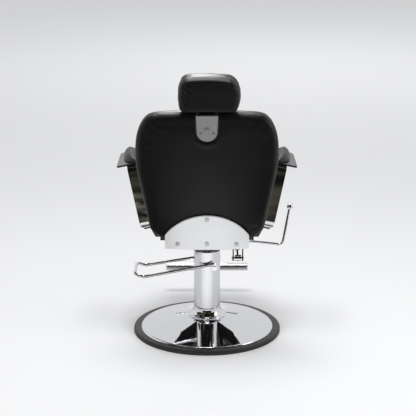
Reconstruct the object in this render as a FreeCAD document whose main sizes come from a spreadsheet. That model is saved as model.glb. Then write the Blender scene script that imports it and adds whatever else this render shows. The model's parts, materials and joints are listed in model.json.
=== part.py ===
import FreeCAD, Part
import math
import os
import re
import Sketcher
from FreeCAD import Rotation, Vector

# Hydraulic barber chair, in millimetres.
# The origin is on the floor under the middle of the column, +Z is up and the sitter faces -Y.
# The chair stands at its lowest height, with the back at its most upright.

doc = FreeCAD.newDocument("hydraulic_barber_chair")
sheet = doc.addObject("Spreadsheet::Sheet", "Sizes")

# Driving sizes: each is a name, a number and what it measures.
DRIVING_SIZES = [
    # Base
    ("base_radius", 300, "floor circle of the rubber ring"),
    ("ring_width", 29, "rubber ring, from the chrome cover outwards"),
    ("ring_height", 16, "top of the rubber ring"),
    ("ring_edge", 6, "rounded upper edge of the ring"),
    ("ring_lip", 9, "rubber tucked in under the chrome cover"),
    ("lip_height", 4, "thickness of that lip"),
    ("cover_wall", 2.5, "spun steel of the base cover"),
    ("cover_rim", 15, "top of the upright rim of the cover"),
    ("cover_rise", 61, "flat crown that the column stands on"),
    ("cover_sweep", 3500, "radius of the long hollow slope"),
    ("crown_radius", 78, "edge of the flat crown"),
    ("base_plate_gap", 4, "steel weight clear of the rubber"),
    ("base_plate_thick", 10, "steel weight"),
    # Column
    ("collar_radius", 71, "foot collar, under its bead"),
    ("collar_bead", 11, "height of the rounded bead"),
    ("bead_bulge", 6, "radius of the bead"),
    ("collar_height", 43, "foot collar from bead to seam"),
    ("collar_hollow", 45, "radius of the hollow cone"),
    ("column_radius", 53, "chrome column cover"),
    ("column_wall", 1.5, "column cover"),
    ("column_top", 266, "seam between column and pump head"),
    ("head_radius", 54.5, "pump head"),
    ("head_height", 76, "pump head, above the seam"),
    ("head_wall", 5.5, "side wall of the pump head"),
    ("head_lid", 12, "top wall of the pump head"),
    # Pump
    ("pump_radius", 47, "pump casting inside the column"),
    ("pump_top", 254, "top of the pump casting"),
    ("flange_radius", 85, "foot flange of the pump"),
    ("flange_thick", 12, "foot flange of the pump"),
    ("flange_bolt_circle", 70, "radius of the bolt circle"),
    ("flange_bolt_length", 19, "pump bolts under their heads"),
    ("barrel_bore", 22, "pressure barrel"),
    ("barrel_floor", 4, "metal left under the barrel"),
    ("gland_depth", 16, "seal block at the mouth of the barrel"),
    ("ram_radius", 18, "ram"),
    ("ram_top", 362, "shoulder that carries the seat"),
    ("ram_fit", 0.05, "running clearance of the ram"),
    ("piston_height", 20, "piston on the ram"),
    ("bush_flange", 27, "guide bush, flange radius"),
    ("bush_flange_thick", 3, "guide bush"),
    ("bush_depth", 16, "guide bush below the flange"),
    ("spindle_radius", 14, "swivel spindle on the ram"),
    ("spindle_height", 26, "swivel spindle"),
    ("race_radius", 30, "thrust race"),
    ("race_thick", 4, "thrust race"),
    # Pedal
    ("pedal_axis_x", -30, "pedal shaft, off the middle of the column"),
    ("pedal_axis_z", 285, "pedal shaft above the floor"),
    ("shaft_radius", 6, "pedal shaft"),
    ("shaft_fit", 0.05, "running clearance of pins and shafts"),
    ("fork_arm", 64, "from the shaft to the bar on the plunger"),
    ("fork_hub_radius", 9, "hub of the inner fork"),
    ("fork_plate", 6, "each arm of the fork"),
    ("fork_inside", 22, "half the gap between its arms"),
    ("fork_bar_radius", 5, "bar that presses the plunger"),
    ("plunger_radius", 7, "pump plunger"),
    ("plunger_length", 82, "pump plunger"),
    ("plunger_gap", 0.5, "play between the bar and the plunger"),
    ("plunger_bore_floor", 150, "bottom of its bore above the floor"),
    ("spring_wire", 1, "wire radius of the return spring"),
    ("pedal_rod_radius", 6, "bent rod of the pedal"),
    ("pedal_root_half", 64, "each rod of the loop from the middle, at the shaft"),
    ("pedal_half_width", 78, "each rod from the middle, at the far end"),
    ("pedal_reach", 290, "end bar of the loop"),
    ("pedal_end_z", 260, "end bar above the floor"),
    ("pedal_low_x", 254, "lowest point of the rods"),
    ("pedal_low_z", 249.5, "lowest point above the floor"),
    ("pedal_root_z", 299, "rods over the pedal shaft"),
    ("pedal_corner", 12, "cut-off corner of the loop"),
    ("pedal_bend", 13, "bend radius of the rod"),
    ("boss_radius", 12, "boss at the root of each rod"),
    ("boss_length", 18, "boss along the shaft"),
    ("stud_radius", 8, "end bolt of the pedal shaft"),
    ("stud_height", 5, "end bolt of the pedal shaft"),
    # Seat frame
    ("mount_side", 150, "square seat mount"),
    ("mount_thick", 8, "seat mount"),
    ("mount_bolt_edge", 9, "mount bolts inside the edges of the seat mount"),
    ("bearing_gap", 0.3, "air between turning faces"),
    ("nut_radius", 20, "nut on the spindle"),
    ("rail_inside", 53, "inner face of each rail"),
    ("rail_width", 25, "square tube rails"),
    ("rail_height", 26, "square tube rails"),
    ("rail_wall", 2.5, "square tube rails"),
    ("rail_front", -330, "front end of the rails"),
    ("rail_rear", 100, "rear end of the rails"),
    ("outrigger_width", 40, "flat cross bars"),
    ("outrigger_thick", 8, "flat cross bars"),
    ("outrigger_front", -170, "front cross bar"),
    ("outrigger_rear", 0, "rear cross bar"),
    ("crank_top", 23, "where the top of a cross bar starts to rise, inwards of the strip"),
    ("crank_foot", 19, "where its underside starts to rise"),
    ("crank_lean", 2, "upper bend of its underside, outwards of the strip's edge"),
    ("ear_thick", 8, "hinge ears"),
    ("ear_radius", 13, "rounded head of the ears"),
    ("ear_foot", 60, "foot of the ears along the rails"),
    # Seat
    ("board_thick", 12, "plywood boards"),
    ("seat_board_half", 185, "half width of the seat board"),
    ("seat_half", 215, "half width of the seat cushion"),
    ("seat_rear", 116, "rear edge of the seat cushion"),
    ("seat_front", -350, "front edge of the seat cushion"),
    ("seat_thick", 96, "seat cushion"),
    ("seat_corner", 55, "plan radius of the cushion corners"),
    ("seat_round", 25, "edge radius of the cushion"),
    ("board_inset", 20, "board inside the cushion edge"),
    ("board_screw_side", 162, "seat board screws from the middle"),
    # Arms
    ("arm_lean", 11.6, "outward lean of the arms, degrees"),
    ("arm_foot_x", 245, "middle of the lower strip from the centre"),
    ("arm_foot_z", 445, "lower strip above the floor"),
    ("arm_height", 265, "underside of the tray above the lower strip"),
    ("strip_width", 38, "flat bar of the arm"),
    ("strip_thick", 8, "flat bar of the arm"),
    ("strip_bend", 32, "bend radius of the flat bar"),
    ("strip_rear", 60, "back of the upright part"),
    ("toe_in", 10, "strip narrower by this at its foot, on the outside"),
    ("toe_rise", 26, "height of the rounded outer corner of the strip at its foot"),
    ("toe_radius", 46, "curve of that corner"),
    ("strip_front_low", -215, "front end of the lower strip"),
    ("strip_front_top", -140, "front end of the upper strip"),
    ("tray_rear", 56, "rear edge of the arm tray"),
    ("tray_front", -190, "front end of the arm tray"),
    ("tray_inside", 32, "inner edge of the tray from the strip"),
    ("tray_outside", 57, "outer edge of the tray from the strip"),
    ("tray_thick", 7, "arm tray"),
    ("tray_nose", 30, "front corner radius of the tray"),
    ("tray_heel", 3, "rear corner radius of the tray"),
    ("pad_width", 66, "arm pad"),
    ("pad_shift", 6, "arm pad outwards of the strip"),
    ("pad_rear", 68, "rear end of the arm pad"),
    ("pad_front", -177, "front end of the arm pad"),
    ("pad_thick", 30, "arm pad"),
    ("pad_round", 10, "top edge of the arm pad"),
    ("pad_sweep", 50, "large plan corners of the arm pad, outside rear and inside front"),
    ("pad_corner", 14, "its other two plan corners"),
    # Footrest
    ("footrest_y", -457, "T-bar in front of the column"),
    ("footrest_z", 120, "T-bar above the floor"),
    ("footrest_half", 174, "half length of the T-bar"),
    ("footrest_radius", 17, "T-bar tube"),
    ("footrest_cap", 8, "rounded end caps"),
    ("post_radius", 15, "footrest post"),
    ("post_knee_y", -404, "knee of the post"),
    ("post_plate", 6, "plate that bolts the post under the rails"),
    ("post_plate_depth", 100, "that plate, front to back"),
    ("post_plate_set", 5, "that plate behind the front end of the rails"),
    ("post_weld", 1, "post let into its plate"),
    ("bolt_edge", 13, "bolt holes in from the ends of a plate"),
    ("post_bend", 60, "bend radius of the post"),
    # Back
    ("back_y", 215, "rear face of the back at its foot"),
    ("back_z", 409, "foot of the back above the floor"),
    ("back_rake", 12, "rake of the back, degrees"),
    ("back_height", 566, "back along its slope"),
    ("back_foot", 20, "lower edge of the upholstery"),
    ("back_sole_half", 160, "half width of its lower edge"),
    ("back_sole_bend", 40, "corner of the lower edge"),
    ("back_hip_half", 221, "half width at the hips"),
    ("back_hip_height", 68, "hips above the foot"),
    ("back_hip_bend", 60, "corner at the hips"),
    ("back_wide_half", 272, "half width at the widest place"),
    ("back_wide_drop", 126, "upper end of the widest place below the top"),
    ("back_wide_run", 95, "straight length of the widest place"),
    ("back_flank_low", 40.3, "how far the lower curve of the flanks reaches from its corner"),
    ("back_flank_high", 42.7, "how far the upper curve of the flanks reaches from its corner"),
    ("back_crown_reach", 34.7, "how far the curve of the top edge reaches from the middle"),
    ("back_shoulder_half", 242, "half width at the shoulders"),
    ("back_shoulder_drop", 12, "shoulders below the top"),
    ("back_shoulder_bend", 62, "shoulder corners"),
    ("panel_thick", 30, "padded rear panel"),
    ("panel_round", 15, "rear edge roll"),
    ("back_pad_thick", 42, "front cushion"),
    ("back_pad_round", 32, "front edge of the cushion"),
    ("back_wrap", 10, "cushion round the edge of the board"),
    ("hinge_y", 185, "recline hinge"),
    ("hinge_z", 428, "recline hinge above the floor"),
    ("hinge_pin_radius", 6, "hinge pins"),
    ("knuckle_radius", 12, "hinge knuckles"),
    ("knuckle_length", 16, "hinge knuckles"),
    ("slot_inside", 5, "hinge slots inwards of the ears"),
    ("slot_outside", 9, "hinge slots outwards of the knuckles"),
    ("slot_top", 22, "hinge slots above the knuckles"),
    ("hinge_bar_thick", 5, "hinge bars on the board"),
    ("hinge_bar_top", 78, "upper end of the hinge bars"),
    ("bar_bolt_end", 10, "upper bolts below the end of the hinge bars"),
    ("bar_bolt_pitch", 22, "bolts of a hinge bar apart"),
    ("pin_head_radius", 9, "heads of the hinge pins"),
    ("pin_head_thick", 3, "heads of the hinge pins"),
    ("pin_end", 2, "hinge pins past their knuckles"),
    # Rear plate
    ("plate_half", 162, "half width of the steel plate"),
    ("plate_side", 62, "height of its straight sides"),
    ("plate_crown", 146, "height of its arched top"),
    ("plate_belly", 6, "how far its lower edge bows down"),
    ("plate_stand", 8, "how far it stands off the vinyl"),
    ("plate_wall", 2, "sheet thickness"),
    ("plate_screw_low", 26, "lower screws above its edge"),
    ("plate_screw_side", 113, "outer screws from the middle"),
    ("plate_screw_top", 132, "top screw above its edge"),
    ("screw_head_radius", 8, "button heads"),
    ("screw_head_height", 4.4, "button heads"),
    ("screw_radius", 4, "screw shanks"),
    ("screw_fit", 0.2, "screw clearance"),
    ("recess_half", 146, "half width of the space behind the plate"),
    ("recess_top", 80, "top of that space"),
    # Locking strut
    ("strut_x", -120.5, "strut from the middle"),
    ("strut_pin_y", 198, "rear strut pin"),
    ("strut_pin_z", 367.4, "rear strut pin above the floor"),
    ("strut_front_z", 372, "front strut pin above the floor"),
    ("strut_pin_radius", 5, "strut pins"),
    ("strut_play", 4.2, "extra room round the front pin"),
    ("strut_radius", 14, "strut cylinder"),
    ("strut_wall", 3, "strut cylinder"),
    ("strut_mouth_y", 62, "rear end of the cylinder"),
    ("strut_heel_y", -146, "front end of the cylinder"),
    ("strut_heel_wall", 12, "closed end of the cylinder"),
    ("strut_mouth_wall", 8, "rod guide at the mouth of the cylinder"),
    ("strut_piston", 10, "piston on the strut rod"),
    ("strut_rod_radius", 5, "strut rod"),
    ("strut_rod_inside", 66, "rod inside the cylinder"),
    ("eye_radius", 12, "rear strut eye"),
    ("eye_width", 24, "strut eyes along the pins"),
    ("front_eye_radius", 14, "front strut eye"),
    ("clevis_half", 20.5, "half width of each strut clevis"),
    ("clevis_wall", 4.5, "clevis ears"),
    ("clevis_radius", 13, "rounded end of the ears"),
    ("clevis_drop", 4, "top of the rear clevis below the top of its recess"),
    ("clevis_lip", 12, "depth of its ears at their upper end"),
    # Recline lever
    ("lever_y", 150, "lever pivot"),
    ("lever_z", 421, "lever pivot above the floor"),
    ("lever_radius", 5, "lever rod"),
    ("lever_bush_radius", 9, "lever bush"),
    ("lever_bush_end", 158, "outer end of the bush"),
    ("lever_elbow_x", 296, "elbow of the lever"),
    ("lever_elbow_z", 407, "elbow above the floor"),
    ("lever_top_x", 321, "upper end of the lever"),
    ("lever_top_z", 552, "upper end above the floor"),
    ("lever_stub", 16, "straight run of the lever out of its bush"),
    ("lever_bend", 16, "bend radius of the lever"),
    ("knob_radius", 12.5, "ball knob"),
    ("knob_reach", 11.25, "middle of the knob past the end of the rod"),
    # Headrest
    ("guide_half", 45, "half width of the headrest guide"),
    ("guide_depth", 22, "headrest guide, front to back"),
    ("guide_drop", 136, "lower end of the guide below the top of the back"),
    ("guide_sunk", 10, "upper end of the guide below the top of the back"),
    ("guide_rear", 7, "rear of the guide under the vinyl face"),
    ("tongue_half", 41, "half width of the lock plate"),
    ("tongue_foot_half", 38, "radius of its round end"),
    ("tongue_drop", 111, "round end of the lock plate below the top of the back"),
    ("tongue_sunk", 10, "upper end of the lock plate below the top of the back"),
    ("tongue_thick", 7, "lock plate"),
    ("tongue_gap", 6, "vinyl edge round the lock plate"),
    ("clamp_drop", 63, "clamp bolt below the top of the back"),
    ("small_screw_side", 24, "small screws from the middle"),
    ("small_screw_drop", 80, "small screws below the top of the back"),
    ("small_screw_radius", 5, "heads of the small screws"),
    ("small_screw_head", 2.5, "height of those heads"),
    ("headrest_post_half", 34, "headrest posts from the middle"),
    ("headrest_post_radius", 5, "headrest posts"),
    ("headrest_post_reach", 121, "posts down inside the back"),
    ("headrest_gap", 2, "headrest above the back"),
    ("headrest_half", 113, "half width of the headrest"),
    ("headrest_height", 130, "headrest"),
    ("headrest_depth", 100, "headrest, front to back"),
    ("headrest_rear", 5, "headrest behind the back's rear face"),
    ("headrest_round", 28, "edge radius of the headrest"),
    ("headrest_end", 30, "radius of its four upright edges"),
    ("headrest_sole", 10, "edge radius round its foot"),
    ("headrest_bar", 40, "cross bar of the posts above the headrest's foot"),
    ("headrest_bar_end", 10, "that bar past the posts"),
    ("headrest_board_end", 25, "board inside the ends of the headrest"),
    ("headrest_board_edge", 14, "board inside its foot and its top"),
    ("headrest_board_thick", 10, "board in the headrest"),
]

# Sizes that follow from the driving ones.
DERIVED_SIZES = [
    ("cover_radius", "base_radius - ring_width"),
    ("base_plate_radius", "cover_radius - ring_lip - base_plate_gap"),
    ("flange_top", "base_plate_thick + flange_thick"),
    ("head_top", "column_top + head_height"),
    ("piston_foot", "flange_top + barrel_floor"),
    ("mount_foot", "ram_top + race_thick + bearing_gap"),
    ("mount_top", "mount_foot + mount_thick"),
    ("rail_top", "mount_top + rail_height"),
    ("post_top_z", "mount_top - post_plate - post_radius + post_weld"),
    ("post_plate_front", "rail_front + post_plate_set"),
    ("post_root", "post_plate_front + post_plate_depth"),
    ("rail_outside", "rail_inside + rail_width"),
    ("board_foot", "rail_top + outrigger_thick"),
    ("seat_foot", "board_foot + board_thick"),
    ("fork_bar_x", "pedal_axis_x + fork_arm"),
    ("plunger_top", "pedal_axis_z - fork_bar_radius - plunger_gap"),
    ("lean_sin", "sin(arm_lean)"),
    ("lean_cos", "cos(arm_lean)"),
    ("rake_sin", "sin(back_rake)"),
    ("rake_cos", "cos(back_rake)"),
    # The hinge and the rear strut pin, seen in the back's own leaning frame.
    ("hinge_in", "(hinge_y - back_y) * rake_cos - (hinge_z - back_z) * rake_sin"),
    ("hinge_up", "(hinge_y - back_y) * rake_sin + (hinge_z - back_z) * rake_cos"),
    ("pin_in", "(strut_pin_y - back_y) * rake_cos - (strut_pin_z - back_z) * rake_sin"),
    ("pin_up", "(strut_pin_y - back_y) * rake_sin + (strut_pin_z - back_z) * rake_cos"),
    ("board_front", "-panel_thick - board_thick"),
    ("back_front", "board_front - back_pad_thick"),
    ("back_wide_high", "back_height - back_wide_drop"),
    ("back_wide_low", "back_wide_high - back_wide_run"),
    ("guide_low", "back_height - guide_drop"),
    ("guide_top", "back_height - guide_sunk"),
    ("tongue_low", "back_height - tongue_drop"),
    ("tongue_top", "back_height - tongue_sunk"),
    ("clamp_height", "back_height - clamp_drop"),
    ("small_screw_height", "back_height - small_screw_drop"),
    ("headrest_post_low", "back_height - headrest_post_reach"),
    ("post_in", "-guide_rear - guide_depth / 2"),
    ("headrest_foot", "back_height + headrest_gap"),
]

aliases = set()
for row, (name, number, meaning) in enumerate(DRIVING_SIZES, start=1):
    sheet.set("A%d" % row, meaning)
    sheet.set("B%d" % row, str(number))
    sheet.setAlias("B%d" % row, name)
    aliases.add(name)
for row, (name, formula) in enumerate(DERIVED_SIZES, start=len(DRIVING_SIZES) + 1):
    sheet.set("A%d" % row, name.replace("_", " "))
    sheet.set("B%d" % row, "=" + formula)
    sheet.setAlias("B%d" % row, name)
    aliases.add(name)
doc.recompute()


def linked(formula):
    """The formula with every size looked up in the sheet."""
    def look_up(word):
        return "Sizes." + word[0] if word[0] in aliases else word[0]
    return re.sub(r"[a-z][a-z_0-9]*", look_up, str(formula))


def size(formula):
    """The number that a formula comes to."""
    return float(sheet.evalExpression(linked(formula)))


def bind(thing, **links):
    """Ties properties to formulas; a double underscore stands for the dot in a property's path."""
    for path, formula in links.items():
        thing.setExpression(path.replace("__", "."), linked(formula))


nodes = []


def node(thing, label):
    """Marks a finished sub-part and names it."""
    thing.Label = label
    nodes.append(thing)
    return thing


# Primitives and booleans.

TURNS = {"X": Rotation(Vector(0, 1, 0), 90), "Y": Rotation(Vector(1, 0, 0), -90), "Z": Rotation()}


def block(x, y, z, length, width, height):
    """A box from its lowest corner."""
    thing = doc.addObject("Part::Box", "Block")
    bind(thing, Length=length, Width=width, Height=height)
    bind(thing, Placement__Base__x=x, Placement__Base__y=y, Placement__Base__z=z)
    return thing


def rod(along, x, y, z, radius, length):
    """A round bar that starts at a point and runs along an axis."""
    thing = doc.addObject("Part::Cylinder", "Rod")
    thing.Placement.Rotation = TURNS[along]
    bind(thing, Radius=radius, Height=length)
    bind(thing, Placement__Base__x=x, Placement__Base__y=y, Placement__Base__z=z)
    return thing


def hexagon(along, x, y, z, radius, length):
    """A six-sided bolt head."""
    thing = doc.addObject("Part::Prism", "Hexagon")
    thing.Polygon = 6
    thing.Placement.Rotation = TURNS[along]
    bind(thing, Circumradius=radius, Height=length)
    bind(thing, Placement__Base__x=x, Placement__Base__y=y, Placement__Base__z=z)
    return thing


def joined(*pieces):
    """Pieces made as one."""
    thing = doc.addObject("Part::MultiFuse", "Joined")
    thing.Shapes = list(pieces)
    thing.Refine = True
    return thing


def without(base, *tools):
    """A piece with others cut out of it."""
    thing = doc.addObject("Part::Cut", "Without")
    thing.Base = base
    thing.Tool = tools[0] if len(tools) == 1 else joined(*tools)
    return thing


def group(*pieces):
    """Separate solids that share a node."""
    thing = doc.addObject("Part::Compound", "Group")
    thing.Links = list(pieces)
    return thing


def mirrored(thing):
    """The same piece on the other side of the chair."""
    copy = doc.addObject("Part::Mirroring", "Mirrored")
    copy.Source = thing
    copy.Normal = Vector(1, 0, 0)
    return copy


def made(shape):
    """A piece whose shape is worked out in code."""
    thing = doc.addObject("Part::Feature", "Made")
    thing.Shape = shape
    return thing


# The arms lean outwards about their foot, and the back leans on its foot.

def on_arm(thing):
    thing.Placement.Rotation = Rotation(Vector(0, 1, 0), 10)
    bind(thing, Placement__Rotation__Angle="arm_lean")
    bind(thing, Placement__Base__x="arm_foot_x", Placement__Base__z="arm_foot_z")
    return thing


def on_back(thing):
    thing.Placement.Rotation = Rotation(Vector(-1, 0, 0), 10)
    bind(thing, Placement__Rotation__Angle="back_rake")
    bind(thing, Placement__Base__y="back_y", Placement__Base__z="back_z")
    return thing


# Sketches and the features made from them.

def outline(body, plane, corners, lift=None):
    """A closed outline. A corner is (x, y), or (x, y, radius) where an arc leaves it.
    The arc turns left for a positive radius and right for a negative one."""
    sketch = body.newObject("Sketcher::SketchObject", "Outline")
    face = next(item for item in body.Origin.OriginFeatures if item.Role == plane)
    sketch.AttachmentSupport = [(face, "")]
    sketch.MapMode = "FlatFace"
    if lift is not None:
        bind(sketch, AttachmentOffset__Base__z=lift)
    points = [Vector(size(corner[0]), size(corner[1]), 0) for corner in corners]
    ends = []
    for index, corner in enumerate(corners):
        start = points[index]
        stop = points[(index + 1) % len(points)]
        if len(corner) == 2:
            sketch.addGeometry(Part.LineSegment(start, stop))
            ends.append((1, 2))
            continue
        radius = size(corner[2])
        chord = stop - start
        middle = (start + stop) * 0.5
        left = Vector(-chord.y, chord.x, 0).normalize()
        reach = math.sqrt(radius ** 2 - chord.Length ** 2 / 4)
        centre = middle + left * math.copysign(reach, radius)
        first, last = (start, stop) if radius > 0 else (stop, start)
        angles = [math.atan2(end.y - centre.y, end.x - centre.x) for end in (first, last)]
        circle = Part.Circle(centre, Vector(0, 0, 1), abs(radius))
        sketch.addGeometry(Part.ArcOfCircle(circle, angles[0], angles[1]))
        ends.append((1, 2) if radius > 0 else (2, 1))
    for index, corner in enumerate(corners):
        after = (index + 1) % len(corners)
        sketch.addConstraint(
            Sketcher.Constraint("Coincident", index, ends[index][1], after, ends[after][0]))
        for kind, formula in (("DistanceX", corner[0]), ("DistanceY", corner[1])):
            number = sketch.addConstraint(
                Sketcher.Constraint(kind, -1, 1, index, ends[index][0], size(formula)))
            sketch.setExpression("Constraints[%d]" % number, linked(formula))
        if len(corner) == 3:
            number = sketch.addConstraint(
                Sketcher.Constraint("Radius", index, abs(size(corner[2]))))
            sketch.setExpression("Constraints[%d]" % number, linked("abs(%s)" % corner[2]))
    return sketch


def new_body():
    return doc.addObject("PartDesign::Body", "Body")


def pad(body, sketch, length, side="One side", reverse=False):
    feature = body.newObject("PartDesign::Pad", "Pad")
    feature.Profile = sketch
    feature.SideType = side
    feature.Reversed = reverse
    bind(feature, Length=length)
    return feature


def pocket(body, sketch, length, reverse=False):
    feature = body.newObject("PartDesign::Pocket", "Pocket")
    feature.Profile = sketch
    feature.Reversed = reverse
    bind(feature, Length=length)
    return feature


def turned(corners):
    """A lathe-turned piece: its half section from the axis outwards, spun about Z."""
    body = new_body()
    sketch = outline(body, "XZ_Plane", corners)
    feature = body.newObject("PartDesign::Revolution", "Revolution")
    feature.Profile = sketch
    feature.ReferenceAxis = (sketch, ["V_Axis"])
    return body


# Bars and rods bent along a path.

def bent_path(points, radius):
    """Straight runs through the points, joined by tangent arcs."""
    edges = []
    start = points[0]
    for before, corner, after in zip(points, points[1:], points[2:]):
        back = (before - corner).normalize()
        on = (after - corner).normalize()
        half = back.getAngle(on) / 2
        cut = radius / math.tan(half)
        enter = corner + back * cut
        leave = corner + on * cut
        toward = (back + on).normalize()
        middle = corner + toward * (radius / math.sin(half) - radius)
        edges.append(Part.LineSegment(start, enter).toShape())
        edges.append(Part.Arc(enter, middle, leave).toShape())
        start = leave
    edges.append(Part.LineSegment(start, points[-1]).toShape())
    return Part.Wire(edges)


def swept(path, section):
    """A section carried along a path, checked by its volume."""
    solid = path.makePipeShell([section], True, False)
    ideal = Part.Face(section).Area * path.Length
    if abs(solid.Volume - ideal) > 0.02 * ideal:
        raise ValueError("a swept bar has the wrong volume")
    return solid


def bent_rod(points, bend, radius):
    path = bent_path(points, bend)
    circle = Part.Circle(points[0], points[1] - points[0], radius)
    return swept(path, Part.Wire([circle.toShape()]))


# Base

node(turned([
    ("cover_radius - ring_lip", "0"),
    ("base_radius", "0"),
    ("base_radius", "ring_height - ring_edge", "ring_edge"),
    ("base_radius - ring_edge", "ring_height"),
    ("cover_radius", "ring_height + 1"),
    ("cover_radius", "lip_height"),
    ("cover_radius - ring_lip", "lip_height"),
]), "base_ring")

node(turned([
    ("cover_radius", "lip_height"),
    ("cover_radius", "cover_rim", "9"),
    ("cover_radius - 8", "cover_rim + 7.5", "-cover_sweep"),
    ("crown_radius + 6", "cover_rise - 3"),
    ("crown_radius", "cover_rise"),
    ("pump_radius + 3", "cover_rise"),
    ("pump_radius + 3", "cover_rise - cover_wall"),
    ("crown_radius - 1", "cover_rise - cover_wall"),
    ("crown_radius + 5", "cover_rise - 3 - cover_wall", "cover_sweep + cover_wall"),
    ("cover_radius - 9", "cover_rim + 7.5 - cover_wall", "-6.5"),
    ("cover_radius - cover_wall", "cover_rim"),
    ("cover_radius - cover_wall", "lip_height"),
]), "base_cover")


def flange_spots():
    """The four places round the pump flange, as formulas."""
    for quarter in range(4):
        angle = 45 + 90 * quarter
        yield "flange_bolt_circle * cos(%d)" % angle, "flange_bolt_circle * sin(%d)" % angle


BOLT_RADIUS = "screw_radius + 2"
flange_holes = [
    rod("Z", x, y, "flange_top - flange_bolt_length - 1", BOLT_RADIUS + " + screw_fit",
        "flange_bolt_length + 2") for x, y in flange_spots()]

node(without(
    rod("Z", "0", "0", "0", "base_plate_radius", "base_plate_thick"),
    *flange_holes), "base_plate")

node(without(
    joined(
        rod("Z", "0", "0", "base_plate_thick", "flange_radius", "flange_thick"),
        rod("Z", "0", "0", "base_plate_thick", "pump_radius", "pump_top - base_plate_thick")),
    rod("Z", "0", "0", "piston_foot", "barrel_bore", "pump_top"),
    rod("Z", "fork_bar_x", "0", "plunger_bore_floor", "plunger_radius + shaft_fit", "pump_top"),
    *flange_holes), "pump_body")

node(group(*[
    joined(
        rod("Z", x, y, "flange_top - flange_bolt_length", BOLT_RADIUS, "flange_bolt_length + 1"),
        hexagon("Z", x, y, "flange_top", "screw_radius * 2.75", "screw_radius * 2"))
    for x, y in flange_spots()]), "pump_bolts")

node(turned([
    ("column_radius + ram_fit * 4", "cover_rise"),
    ("collar_radius", "cover_rise", "bead_bulge"),
    ("collar_radius", "cover_rise + collar_bead"),
    ("collar_radius - 2", "cover_rise + collar_bead", "-collar_hollow"),
    ("column_radius + 2.5", "cover_rise + collar_height - 3"),
    ("column_radius + 2.5", "cover_rise + collar_height"),
    ("column_radius + ram_fit * 4", "cover_rise + collar_height"),
]), "foot_collar")

node(without(
    rod("Z", "0", "0", "cover_rise", "column_radius", "column_top - cover_rise"),
    rod("Z", "0", "0", "cover_rise - 1", "column_radius - column_wall", "column_top")),
    "column_cover")

# Pump head, with the guide bush and the gland that the ram slides through

HEAD_SPIGOT = "column_radius - column_wall - screw_fit"
node(without(
    joined(
        rod("Z", "0", "0", "column_top", "head_radius", "head_height"),
        rod("Z", "0", "0", "pump_top", HEAD_SPIGOT, "column_top - pump_top + 1")),
    rod("Z", "0", "0", "pump_top - 1", "head_radius - head_wall",
        "head_top - head_lid - pump_top + 1"),
    rod("Z", "0", "0", "pump_top", "barrel_bore", "head_height * 2"),
    rod("Y", "pedal_axis_x", "-head_radius", "pedal_axis_z", "shaft_radius + shaft_fit",
        "head_radius * 2")), "pump_head")

node(without(
    joined(
        rod("Z", "0", "0", "head_top - bush_depth", "barrel_bore", "bush_depth"),
        rod("Z", "0", "0", "head_top", "bush_flange", "bush_flange_thick")),
    rod("Z", "0", "0", "head_top - bush_depth - 1", "ram_radius + ram_fit", "head_height")),
    "ram_bush")

node(without(
    rod("Z", "0", "0", "pump_top - gland_depth", "barrel_bore", "gland_depth"),
    rod("Z", "0", "0", "pump_top - gland_depth - 1", "ram_radius + ram_fit", "head_height")),
    "ram_gland")

# Ram: a solid rod on a piston, with the swivel spindle turned on its top

node(joined(
    rod("Z", "0", "0", "piston_foot + piston_height", "ram_radius",
        "ram_top - piston_foot - piston_height"),
    rod("Z", "0", "0", "ram_top - 1", "spindle_radius", "spindle_height + 1")), "ram_rod")

SEAL_RADIUS = "barrel_bore - ram_fit"
node(without(
    rod("Z", "0", "0", "piston_foot", "barrel_bore - ram_fit * 2", "piston_height"),
    without(
        rod("Z", "0", "0", "piston_foot + 7", "barrel_bore + 1", "6"),
        rod("Z", "0", "0", "piston_foot + 6", "barrel_bore - 4", "8"))), "ram_piston")
node(without(
    rod("Z", "0", "0", "piston_foot + 7", SEAL_RADIUS, "6"),
    rod("Z", "0", "0", "piston_foot + 6", "barrel_bore - 4", "8")), "piston_seal")

node(without(
    rod("Z", "0", "0", "ram_top", "race_radius", "race_thick"),
    rod("Z", "0", "0", "ram_top - 1", "spindle_radius + shaft_fit", "race_thick + 2")),
    "thrust_race")

NUT_FOOT = "mount_top + bearing_gap"
node(without(
    hexagon("Z", "0", "0", NUT_FOOT, "nut_radius", "ram_top + spindle_height - mount_top"),
    rod("Z", "0", "0", NUT_FOOT + " - 1", "spindle_radius + shaft_fit", "spindle_height")),
    "spindle_nut")

# Pump pedal: shaft, inner fork, plunger and the bent loop

shaft_half = "pedal_root_half + boss_length / 2"
node(rod("Y", "pedal_axis_x", "-(%s)" % shaft_half, "pedal_axis_z", "shaft_radius",
         "pedal_root_half * 2 + boss_length"), "pedal_shaft")

fork_arms = []
for near in ("fork_inside", "-fork_inside - fork_plate"):
    fork_arms.append(block("pedal_axis_x", near, "pedal_axis_z - fork_bar_radius", "fork_arm",
                           "fork_plate", "fork_bar_radius * 2"))
    fork_arms.append(rod("Y", "pedal_axis_x", near, "pedal_axis_z", "fork_hub_radius",
                         "fork_plate"))
fork_arms.append(rod("Y", "fork_bar_x", "-fork_inside - fork_plate", "pedal_axis_z",
                     "fork_bar_radius", "(fork_inside + fork_plate) * 2"))
node(without(
    joined(*fork_arms),
    rod("Y", "pedal_axis_x", "-head_radius", "pedal_axis_z", "shaft_radius",
        "head_radius * 2")), "pedal_fork")

node(rod("Z", "fork_bar_x", "0", "plunger_top - plunger_length", "plunger_radius",
         "plunger_length"), "pump_plunger")

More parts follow.
